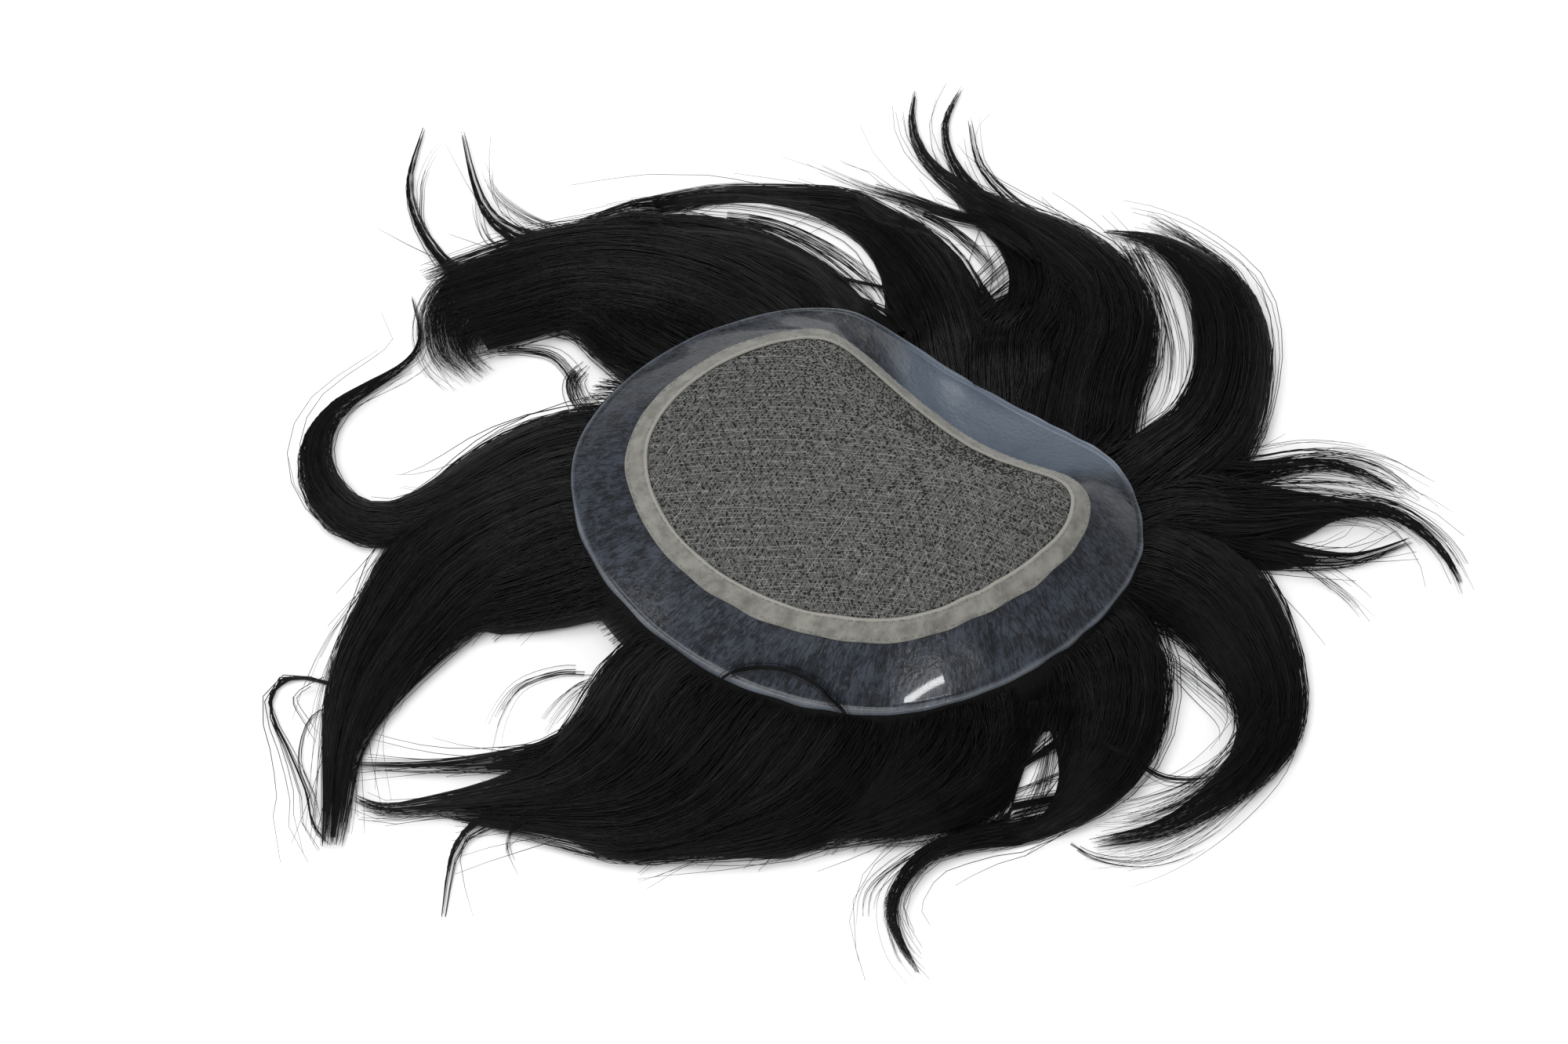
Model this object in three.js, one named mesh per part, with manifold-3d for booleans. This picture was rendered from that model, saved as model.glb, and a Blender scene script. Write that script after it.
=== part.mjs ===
// A toupee hairpiece that lies scalp side up on its own hair, turned inside out, with its far right side
// pressed in. Millimetres, +Z up, near edge towards -Y. The origin is on the surface that it lies on,
// under the middle of the spread hair.

import * as THREE from "three";
import Module from "manifold-3d";

const wasm = await Module();
wasm.setup();

const DEGREE = Math.PI / 180;

// Base: a cap for the top of the head, ten inches long and eight wide when measured over its crown
const BASE_HALF_LENGTH = 113.5;
const BASE_HALF_WIDTH = 90;
const BASE_FULLNESS = 1.8; // power of the outline; 2 is an ellipse
const BASE_TAPER = 0.25; // share by which the outline narrows towards its right end
const BASE_TURN = -10.2 * DEGREE; // long axis against +X
const BASE_RIGHT = 21.5; // crown from the middle of the hair
const BASE_NEAR = 20.7;
const CROWN_RISE = 48.5;
const EDGE_HEIGHT = 24; // edge of the base above the surface below

// Dent: the stretch of the dome past a slanted plane is folded back through that plane
const DENT_BEARING = 65.6 * DEGREE; // against the base's long axis
const DENT_SLOPE = 52 * DEGREE; // plane's normal above the horizontal
const DENT_EDGE_HEIGHT = 7; // edge of the base at the bottom of the dent
const DENT_SOFTNESS = 4.6; // half thickness of the rounded fold

// Walls of the base
const NET_THICKNESS = 1;
const SKIN_THICKNESS = 1;
const SKIN_SHOWN = 24.7; // skin between its edge and the tape
const SKIN_DENT_EXTRA = 13.5; // wider by this much at the dent
const BEAD_WIDTH = 2.4;
const BEAD_RISE = 0.8;
const TAPE_WIDTH = 9;
const TAPE_THICKNESS = 1;
const PIECE_GAP = 0.3;
const ROOM_PAST_EDGE = 0.6; // how far the hair is kept off the edge of the skin

// Hair
const SPREAD_LENGTH = 472;
const SPREAD_WIDTH = 416;
const LOCK_WIDTH = 40;
const LOCK_DEPTH = 14; // of a lock that is LOCK_WIDTH wide
const BED_SPREAD = 6; // hair past the edge of the base all round
const ROOT_SHARE = 0.72; // where the locks start, from the crown, 0, to the edge, 1
const LOCK_END = 0.25; // length of a lock's rounded end, as a share of its width there
const FLANK_SHARE = 0.4; // height of the bed's widest line, as a share of the edge above it
const FOOT_SHARE = 0.8; // spread of the bed on the surface, as a share of its spread there

// Steps of the faceted walls
const BEARING_STEPS = 55;
const BEARING_FOCUS = 0.35; // how much closer the steps lie at the dent
const CROWN_RINGS = 9;
const SKIN_RINGS = 2;
const STEPS_PER_STATION = 2;

const NORMAL_STEP = 0.01; // step in share and bearing by which a normal is found
const HALVINGS = 40; // rounds in the search for the dent's plane

const LOOKS = {
  net: { color: 0x6a6a6a, roughness: 0.9, metalness: 0 },
  skin: { color: 0x343b45, roughness: 0.3, metalness: 0 },
  tape: { color: 0x96928a, roughness: 0.85, metalness: 0 },
  hair: { color: 0x141416, roughness: 0.5, metalness: 0 },
};

// Section of a lock, clockwise seen from its root: shares of its width to the left and of its depth up
const LOCK_SECTION = [
  { left: 0.5, up: 0.24 },
  { left: 0.41, up: 0 },
  { left: -0.41, up: 0 },
  { left: -0.5, up: 0.24 },
  { left: -0.24, up: 1 },
  { left: 0.24, up: 1 },
];

// Locks in order round the base. A root is the bearing, in degrees against the base's long axis, where the
// lock starts under the base; one without a root splits off another lock. A station is [x, y, width]:
// shares of half the spread's length and width, and of LOCK_WIDTH.
const LOCKS = {
  right_bend: {
    root: 20,
    stations: [
      [0.375, 0.24, 1.15], [0.405, 0.36, 1.2], [0.39, 0.46, 1.12], [0.33, 0.55, 0.9],
      [0.25, 0.635, 0.5], [0.17, 0.715, 0.22], [0.11, 0.79, 0.13], [0.085, 0.88, 0.08],
      [0.092, 0.97, 0.04],
    ],
  },
  far_right: {
    root: 45,
    stations: [
      [0.25, 0.33, 1.15], [0.295, 0.44, 1.1], [0.28, 0.55, 0.8], [0.225, 0.645, 0.4],
      [0.18, 0.73, 0.18], [0.15, 0.81, 0.1], [0.145, 0.89, 0.07], [0.18, 0.985, 0.04],
    ],
  },
  far_right_wisp: {
    stations: [
      [0.36, 0.56, 0.35], [0.31, 0.63, 0.22], [0.25, 0.7, 0.13], [0.205, 0.78, 0.09],
      [0.19, 0.9, 0.05],
    ],
  },
  far_arc: {
    root: 68,
    stations: [
      [0.125, 0.44, 1.05], [0.07, 0.55, 0.8], [0, 0.625, 0.42], [-0.13, 0.68, 0.22],
      [-0.29, 0.7, 0.15], [-0.42, 0.665, 0.12],
    ],
  },
  far: {
    root: 92,
    stations: [
      [-0.02, 0.37, 1], [-0.1, 0.46, 1], [-0.2, 0.53, 1], [-0.32, 0.57, 0.95],
      [-0.46, 0.565, 0.8], [-0.66, 0.52, 0.4],
    ],
  },
  far_left: {
    root: 125,
    stations: [
      [-0.275, 0.44, 1.5], [-0.405, 0.49, 1.45], [-0.53, 0.49, 1.3], [-0.65, 0.445, 1.25],
      [-0.755, 0.4, 1.15],
    ],
  },
  far_left_inner: {
    root: 152,
    stations: [
      [-0.395, 0.33, 0.9], [-0.46, 0.41, 0.9], [-0.55, 0.45, 0.8],
    ],
  },
  far_left_corner_wisp: {
    stations: [
      [-0.7, 0.47, 0.3], [-0.765, 0.56, 0.16], [-0.805, 0.65, 0.12], [-0.82, 0.74, 0.08],
      [-0.8, 0.875, 0.04],
    ],
  },
  far_left_wisp: {
    stations: [
      [-0.53, 0.56, 0.4], [-0.62, 0.6, 0.22], [-0.67, 0.65, 0.14], [-0.7, 0.73, 0.09],
      [-0.73, 0.87, 0.04],
    ],
  },
  left_hook: {
    root: 170,
    stations: [
      [-0.52, 0.05, 1.1], [-0.63, 0, 1.05], [-0.72, -0.045, 0.75], [-0.8, -0.07, 0.52],
      [-0.87, -0.06, 0.47], [-0.92, -0.005, 0.42], [-0.943, 0.06, 0.36], [-0.942, 0.125, 0.3],
      [-0.915, 0.19, 0.23], [-0.86, 0.245, 0.17], [-0.81, 0.29, 0.12], [-0.78, 0.345, 0.08],
      [-0.8, 0.46, 0.04],
    ],
  },
  left_fall: {
    root: 185,
    stations: [
      [-0.5, -0.06, 1.35], [-0.62, -0.11, 1.45], [-0.715, -0.19, 1.35], [-0.775, -0.29, 1.1],
      [-0.82, -0.38, 0.88], [-0.85, -0.47, 0.62], [-0.865, -0.56, 0.38], [-0.867, -0.66, 0.28],
      [-0.87, -0.745, 0.2],
    ],
  },
  left_inner: {
    root: 205,
    stations: [
      [-0.44, -0.18, 1.15], [-0.55, -0.215, 1], [-0.65, -0.24, 0.85], [-0.73, -0.3, 0.6],
    ],
  },
  left_loop: {
    stations: [
      [-0.84, -0.43, 0.12], [-0.93, -0.395, 0.08], [-0.975, -0.4, 0.07], [-0.99, -0.45, 0.07],
      [-0.95, -0.55, 0.07], [-0.915, -0.64, 0.07], [-0.9, -0.71, 0.07], [-0.87, -0.74, 0.08],
    ],
  },
  near_left_strand: {
    stations: [
      [-0.42, -0.48, 0.6], [-0.51, -0.555, 0.38], [-0.61, -0.575, 0.25], [-0.72, -0.585, 0.16],
      [-0.85, -0.58, 0.1],
    ],
  },
  near_left: {
    root: 220,
    stations: [
      [-0.36, -0.43, 1.05], [-0.43, -0.55, 1], [-0.51, -0.62, 0.75], [-0.61, -0.645, 0.4],
      [-0.71, -0.66, 0.22], [-0.8, -0.667, 0.12], [-0.84, -0.64, 0.07],
    ],
  },
  near_left_low: {
    root: 242,
    stations: [
      [-0.2, -0.5, 1.35], [-0.3, -0.635, 1.25], [-0.39, -0.69, 0.95], [-0.5, -0.695, 0.55],
      [-0.68, -0.68, 0.1],
    ],
  },
  near_left_wisp: {
    stations: [
      [-0.57, -0.675, 0.2], [-0.64, -0.7, 0.13], [-0.67, -0.745, 0.09], [-0.685, -0.88, 0.04],
    ],
  },
  near: {
    root: 260,
    stations: [
      [-0.05, -0.54, 1.35], [-0.12, -0.645, 1.2], [-0.21, -0.705, 0.85], [-0.4, -0.765, 0.2],
    ],
  },
  near_middle: {
    root: 280,
    stations: [
      [0.12, -0.52, 1.3], [0.06, -0.62, 1.1], [-0.02, -0.68, 0.7], [-0.19, -0.745, 0.15],
    ],
  },
  near_inner: {
    root: 308,
    stations: [
      [0.245, -0.44, 1.1], [0.21, -0.555, 0.78], [0.15, -0.64, 0.65], [0.06, -0.695, 0.45],
      [-0.03, -0.72, 0.2],
    ],
  },
  near_right: {
    root: 335,
    stations: [
      [0.375, -0.34, 1.1], [0.395, -0.45, 1.05], [0.375, -0.55, 0.95], [0.32, -0.64, 0.65],
      [0.24, -0.7, 0.36], [0.15, -0.73, 0.26], [0.085, -0.755, 0.2], [0.045, -0.8, 0.15],
      [0.02, -0.87, 0.1], [0.062, -0.985, 0.04],
    ],
  },
  right_low: {
    root: 350,
    stations: [
      [0.45, -0.17, 1.2], [0.56, -0.23, 1.1], [0.615, -0.33, 0.95], [0.645, -0.43, 0.75],
      [0.64, -0.52, 0.6], [0.595, -0.6, 0.42], [0.53, -0.66, 0.28], [0.45, -0.71, 0.18],
      [0.34, -0.735, 0.1],
    ],
  },
  right_low_wisp: {
    stations: [
      [0.52, -0.1, 0.6], [0.65, -0.13, 0.4], [0.73, -0.145, 0.25], [0.81, -0.145, 0.14],
      [0.91, -0.1, 0.06],
    ],
  },
  right: {
    root: 0,
    stations: [
      [0.52, -0.06, 1.1], [0.63, -0.06, 0.85], [0.72, -0.05, 0.55], [0.8, -0.04, 0.28],
      [0.87, -0.045, 0.2], [0.92, -0.08, 0.15], [0.96, -0.135, 0.1], [0.985, -0.2, 0.05],
    ],
  },
  right_high_wisp: {
    stations: [
      [0.56, 0, 0.5], [0.64, 0.04, 0.3], [0.72, 0.06, 0.18], [0.8, 0.065, 0.11],
      [0.89, 0.01, 0.05],
    ],
  },
  right_outer: {
    root: 5,
    stations: [
      [0.5, 0.04, 1], [0.58, 0.13, 0.95], [0.62, 0.24, 0.85], [0.63, 0.34, 0.82],
      [0.615, 0.44, 0.75], [0.57, 0.52, 0.52], [0.51, 0.58, 0.3], [0.42, 0.61, 0.12],
    ],
  },
};

// Closed mesh through rings of points that each go round the same way. With tips it is closed by a point at
// either end, and without them its last ring joins its first.
function loft(rings, tips) {
  const sides = rings[0].length;
  const points = rings.flat();
  const index = [];
  const joined = tips ? rings.length - 1 : rings.length;
  for (let ring = 0; ring < joined; ring += 1) {
    const here = ring * sides;
    const next = ((ring + 1) % rings.length) * sides;
    for (let side = 0; side < sides; side += 1) {
      const beside = (side + 1) % sides;
      index.push(here + side, next + beside, here + beside);
      index.push(here + side, next + side, next + beside);
    }
  }
  if (tips) {
    const first = points.push(tips[0]) - 1;
    const last = points.push(tips[1]) - 1;
    const end = (rings.length - 1) * sides;
    for (let side = 0; side < sides; side += 1) {
      const beside = (side + 1) % sides;
      index.push(first, side, beside);
      index.push(end + side, last, end + beside);
    }
  }
  const geometry = new THREE.BufferGeometry().setFromPoints(points);
  geometry.setIndex(index);
  return geometry;
}

function solid(geometry) {
  return new wasm.Manifold(new wasm.Mesh({
    numProp: 3,
    vertProperties: new Float32Array(geometry.attributes.position.array),
    triVerts: new Uint32Array(geometry.index.array),
  }));
}

function surfaceOf(manifold) {
  const { vertProperties, triVerts } = manifold.getMesh();
  const geometry = new THREE.BufferGeometry();
  geometry.setAttribute("position", new THREE.BufferAttribute(vertProperties, 3));
  geometry.setIndex(new THREE.BufferAttribute(triVerts, 1));
  return geometry;
}

// Base

const UP = new THREE.Vector3(0, 0, 1);
const BASE_PLACE = new THREE.Vector3(BASE_RIGHT, -BASE_NEAR, EDGE_HEIGHT);
const DENT_HEADING = DENT_BEARING + BASE_TURN;
const DENT_NORMAL = new THREE.Vector3(
  Math.cos(DENT_HEADING) * Math.cos(DENT_SLOPE),
  Math.sin(DENT_HEADING) * Math.cos(DENT_SLOPE),
  Math.sin(DENT_SLOPE),
);

const BEARINGS = Array.from({ length: BEARING_STEPS }, (_, step) => {
  const even = (2 * Math.PI * step) / BEARING_STEPS;
  return even + BEARING_FOCUS * Math.sin(DENT_BEARING - even);
});

function outlineReach(bearing) {
  const along = Math.abs(Math.cos(bearing)) / BASE_HALF_LENGTH;
  const across = Math.abs(Math.sin(bearing)) / BASE_HALF_WIDTH;
  const round = (along ** BASE_FULLNESS + across ** BASE_FULLNESS) ** (-1 / BASE_FULLNESS);
  return round * (1 - BASE_TAPER * Math.cos(bearing));
}

// Point of the dome before it is dented, its share going from 0 at the crown to 1 at the edge
function domePoint(share, bearing) {
  const reach = outlineReach(bearing) * share;
  const rise = CROWN_RISE * (1 - share ** 2);
  const point = new THREE.Vector3(reach * Math.cos(bearing), reach * Math.sin(bearing), rise);
  return point.applyAxisAngle(UP, BASE_TURN);
}

function foldBack(point, plane) {
  const past = point.dot(DENT_NORMAL) - plane;
  return point.addScaledVector(DENT_NORMAL, -past - Math.hypot(past, DENT_SOFTNESS));
}

// Distance of the dent's plane from the middle of the base, at which the edge comes down to its height there
function findDentPlane() {
  const edgeHeight = (plane, bearing) => EDGE_HEIGHT + foldBack(domePoint(1, bearing), plane).z;
  let deep = 0;
  let shallow = BASE_HALF_LENGTH + BASE_HALF_WIDTH;
  for (let round = 0; round < HALVINGS; round += 1) {
    const plane = (deep + shallow) / 2;
    const lowest = Math.min(...BEARINGS.map((bearing) => edgeHeight(plane, bearing)));
    if (lowest < DENT_EDGE_HEIGHT) deep = plane;
    else shallow = plane;
  }
  return shallow;
}

const DENT_PLANE = findDentPlane();

function basePoint(share, bearing) {
  return foldBack(domePoint(share, bearing), DENT_PLANE).add(BASE_PLACE);
}

// Point off the scalp side, above it where the offset is positive
function offsetPoint(share, bearing, offset) {
  const at = Math.max(share, 2 * NORMAL_STEP);
  const outwards = basePoint(at + NORMAL_STEP, bearing).sub(basePoint(at - NORMAL_STEP, bearing));
  const round = basePoint(at, bearing + NORMAL_STEP).sub(basePoint(at, bearing - NORMAL_STEP));
  return basePoint(share, bearing).addScaledVector(outwards.cross(round).normalize(), offset);
}

// Length of the dome from its crown to its edge
function domeArc(bearing) {
  const reach = outlineReach(bearing);
  const slope = (2 * CROWN_RISE) / reach;
  return (reach / 2) * (Math.hypot(1, slope) + Math.asinh(slope) / slope);
}

// Rows run round the base: each gives the share at a bearing
const insetRow = (inset) => (bearing) => 1 - inset(bearing) / domeArc(bearing);
const betweenRows = (inner, outer, part) => (bearing) => inner(bearing) * (1 - part) + outer(bearing) * part;
const towardsDent = (bearing) => Math.max(0, Math.cos(bearing - DENT_BEARING)) ** 2;
const skinShown = (bearing) => SKIN_SHOWN + SKIN_DENT_EXTRA * towardsDent(bearing);

const CROWN_ROW = () => 0;
const TAPE_INNER = insetRow((bearing) => skinShown(bearing) + TAPE_WIDTH);
const SEAM_INNER = insetRow((bearing) => skinShown(bearing) + (TAPE_WIDTH + PIECE_GAP) / 2);
const SEAM_OUTER = insetRow((bearing) => skinShown(bearing) + (TAPE_WIDTH - PIECE_GAP) / 2);
const TAPE_OUTER = insetRow(skinShown);
const BEAD_INNER = insetRow(() => BEAD_WIDTH);
const BEAD_CREST = insetRow(() => BEAD_WIDTH / 2);
const EDGE = insetRow(() => 0);
const PAST_EDGE = insetRow(() => -ROOM_PAST_EDGE);

const ringParts = (rings) => Array.from({ length: rings }, (_, ring) => ring / rings);
const NET_ROWS = [
  ...ringParts(CROWN_RINGS).slice(1).map((part) => betweenRows(CROWN_ROW, TAPE_INNER, part)),
  TAPE_INNER,
  SEAM_INNER,
];
const SKIN_ROWS = [
  SEAM_OUTER,
  ...ringParts(SKIN_RINGS).map((part) => betweenRows(TAPE_OUTER, BEAD_INNER, part)),
  BEAD_INNER,
  BEAD_CREST,
  EDGE,
];
const TAPE_ROWS = [TAPE_INNER, SEAM_INNER, SEAM_OUTER, TAPE_OUTER];

const ringAlong = (row, offset) => BEARINGS.map((bearing) => offsetPoint(row(bearing), bearing, offset));

function makeNet() {
  const top = NET_ROWS.map((row) => ringAlong(row, 0));
  const underside = NET_ROWS.map((row) => ringAlong(row, -NET_THICKNESS)).reverse();
  return loft([...top, ...underside], [offsetPoint(0, 0, 0), offsetPoint(0, 0, -NET_THICKNESS)]);
}

function makeSkin() {
  const top = SKIN_ROWS.map((row) => ringAlong(row, row === BEAD_CREST ? BEAD_RISE : 0));
  const underside = SKIN_ROWS.map((row) => ringAlong(row, -SKIN_THICKNESS)).reverse();
  return loft([...top, ...underside]);
}

function makeTape() {
  const top = TAPE_ROWS.map((row) => ringAlong(row, PIECE_GAP + TAPE_THICKNESS));
  const underside = TAPE_ROWS.map((row) => ringAlong(row, PIECE_GAP)).reverse();
  return loft([...top, ...underside]);
}

// Hair

const atHeight = (point, height) => new THREE.Vector3(point.x, point.y, height);

// Hair under the base: a full bed from the surface below, wider than the base, and taller until it is cut
function makeBed() {
  const edge = BEARINGS.map((bearing) => basePoint(1, bearing));
  const spread = (part) => BEARINGS.map((bearing, step) => {
    const outwards = atHeight(edge[step], 0).sub(atHeight(BASE_PLACE, 0)).setLength(BED_SPREAD * part);
    return outwards.add(edge[step]);
  });
  const top = edge.map((point) => atHeight(point, EDGE_HEIGHT + CROWN_RISE));
  const flank = spread(1).map((point) => atHeight(point, point.z * FLANK_SHARE));
  const foot = spread(FOOT_SHARE).map((point) => atHeight(point, 0));
  const tips = [atHeight(BASE_PLACE, EDGE_HEIGHT + CROWN_RISE), atHeight(BASE_PLACE, 0)];
  return loft([top, edge, flank, foot], tips);
}

// All that lies above the underside of the base, with a gap below it and past its edge
function makeRoomOverHair() {
  const rows = [
    ...NET_ROWS.map((row) => ringAlong(row, -NET_THICKNESS - PIECE_GAP)),
    ...SKIN_ROWS.map((row) => ringAlong(row, -SKIN_THICKNESS - PIECE_GAP)),
    ringAlong(PAST_EDGE, -SKIN_THICKNESS - PIECE_GAP),
    ringAlong(PAST_EDGE, BEAD_RISE + PIECE_GAP),
  ];
  const height = EDGE_HEIGHT + CROWN_RISE + LOCK_DEPTH;
  const top = rows.at(-1).map((point) => atHeight(point, height));
  const tips = [atHeight(BASE_PLACE, height), offsetPoint(0, 0, -NET_THICKNESS - PIECE_GAP)];
  return loft([top, ...rows.reverse()], tips);
}

// Flattened lock along a curve whose third coordinate is the lock's width
function makeLock({ root, stations }) {
  const route = stations.map(([x, y, width]) => new THREE.Vector3(
    (x * SPREAD_LENGTH) / 2,
    (y * SPREAD_WIDTH) / 2,
    width * LOCK_WIDTH,
  ));
  if (root !== undefined) {
    const start = basePoint(ROOT_SHARE, root * DEGREE);
    route.unshift(atHeight(start, route[0].z));
  }
  const curve = new THREE.CatmullRomCurve3(route);
  const steps = (route.length - 1) * STEPS_PER_STATION;
  const rings = Array.from({ length: steps + 1 }, (_, step) => {
    const at = curve.getPoint(step / steps);
    const heading = atHeight(curve.getTangent(step / steps), 0).normalize();
    const leftwards = new THREE.Vector3(-heading.y, heading.x, 0);
    const width = at.z;
    const depth = LOCK_DEPTH * Math.sqrt(width / LOCK_WIDTH);
    const place = ({ left, up }) => atHeight(at, up * depth).addScaledVector(leftwards, left * width);
    return LOCK_SECTION.map(place);
  });
  const tip = (end, ring, length) => {
    const heading = atHeight(curve.getTangent(end), 0).normalize();
    const middle = ring.reduce((sum, point) => sum.add(point), new THREE.Vector3()).divideScalar(ring.length);
    return middle.addScaledVector(heading, length * LOCK_END);
  };
  return loft(rings, [tip(0, rings[0], -route[0].z), tip(1, rings.at(-1), route.at(-1).z)]);
}

function makeHair() {
  const locks = Object.values(LOCKS).map((lock) => solid(makeLock(lock)));
  const whole = locks.reduce((sum, lock) => sum.add(lock), solid(makeBed()));
  return surfaceOf(whole.subtract(solid(makeRoomOverHair())));
}

// Pieces

function piece(name, geometry, look) {
  const mesh = new THREE.Mesh(geometry, new THREE.MeshStandardMaterial(look));
  mesh.name = name;
  return mesh;
}

const hairpiece = new THREE.Group();
hairpiece.add(
  piece("mesh_crown", makeNet(), LOOKS.net),
  piece("skin_rim", makeSkin(), LOOKS.skin),
  piece("binding_tape", makeTape(), LOOKS.tape),
  piece("hair", makeHair(), LOOKS.hair),
);

const extent = new THREE.Box3().setFromObject(hairpiece);
const middle = extent.getCenter(new THREE.Vector3());
hairpiece.position.set(-middle.x, -middle.y, -extent.min.z);

export default hairpiece;
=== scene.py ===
"""Looks of a toupee hairpiece that lies scalp side up on its own hair.

The file is laid out as an add-on and is run as a script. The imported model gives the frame. Constants and
tables are in millimetres and degrees, as the model's own sizes are; meshes are in metres.
"""

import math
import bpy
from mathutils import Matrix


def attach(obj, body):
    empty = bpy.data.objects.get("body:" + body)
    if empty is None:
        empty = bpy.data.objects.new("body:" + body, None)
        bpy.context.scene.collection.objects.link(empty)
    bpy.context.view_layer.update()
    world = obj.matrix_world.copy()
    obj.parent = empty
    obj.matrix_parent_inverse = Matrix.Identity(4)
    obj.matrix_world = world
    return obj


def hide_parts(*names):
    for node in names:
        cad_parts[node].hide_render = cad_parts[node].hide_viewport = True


bl_info = {
    "name": "Toupee hairpiece",
    "version": (1, 0, 0),
    "blender": (4, 5, 0),
    "location": "3D View > Sidebar > Hairpiece",
    "description": "Mesh crown, skin rim, tape and hair strands of a toupee hairpiece",
    "category": "Object",
}

import bpy
import numpy as np
from mathutils import Vector

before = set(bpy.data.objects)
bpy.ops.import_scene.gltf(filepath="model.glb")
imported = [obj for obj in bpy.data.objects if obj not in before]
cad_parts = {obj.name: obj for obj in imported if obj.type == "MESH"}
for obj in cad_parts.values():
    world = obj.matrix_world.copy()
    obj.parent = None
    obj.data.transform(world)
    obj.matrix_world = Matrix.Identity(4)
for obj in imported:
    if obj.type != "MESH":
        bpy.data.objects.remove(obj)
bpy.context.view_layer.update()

MM = 0.001
BODY = "root"

# Base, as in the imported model: a dome with one side folded back through a slanted plane
BASE_HALF_LENGTH = 113.5
BASE_HALF_WIDTH = 90.0
BASE_FULLNESS = 1.8
BASE_TAPER = 0.25
BASE_TURN = math.radians(-10.2)
BASE_PLACE = np.array([22.331, -20.7, 24.0])
CROWN_RISE = 48.5
DENT_BEARING = math.radians(65.6)
DENT_SLOPE = math.radians(52)
DENT_EDGE_HEIGHT = 7.0
DENT_SOFTNESS = 4.6
WALL = 1.0
SKIN_SHOWN = 24.7
SKIN_DENT_EXTRA = 13.5
BEAD_WIDTH = 2.4
BEAD_RISE = 0.8
TAPE_WIDTH = 9.0
TAPE_THICKNESS = 1.0
PIECE_GAP = 0.3

# Hair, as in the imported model
HALF_SPREAD = np.array([236.0, 208.0])
SPREAD_MIDDLE = np.array([0.831, 0.0])
LOCK_WIDTH = 40.0
LOCK_DEPTH = 14.0
BED_SPREAD = 6.0
ROOT_SHARE = 0.72

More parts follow.
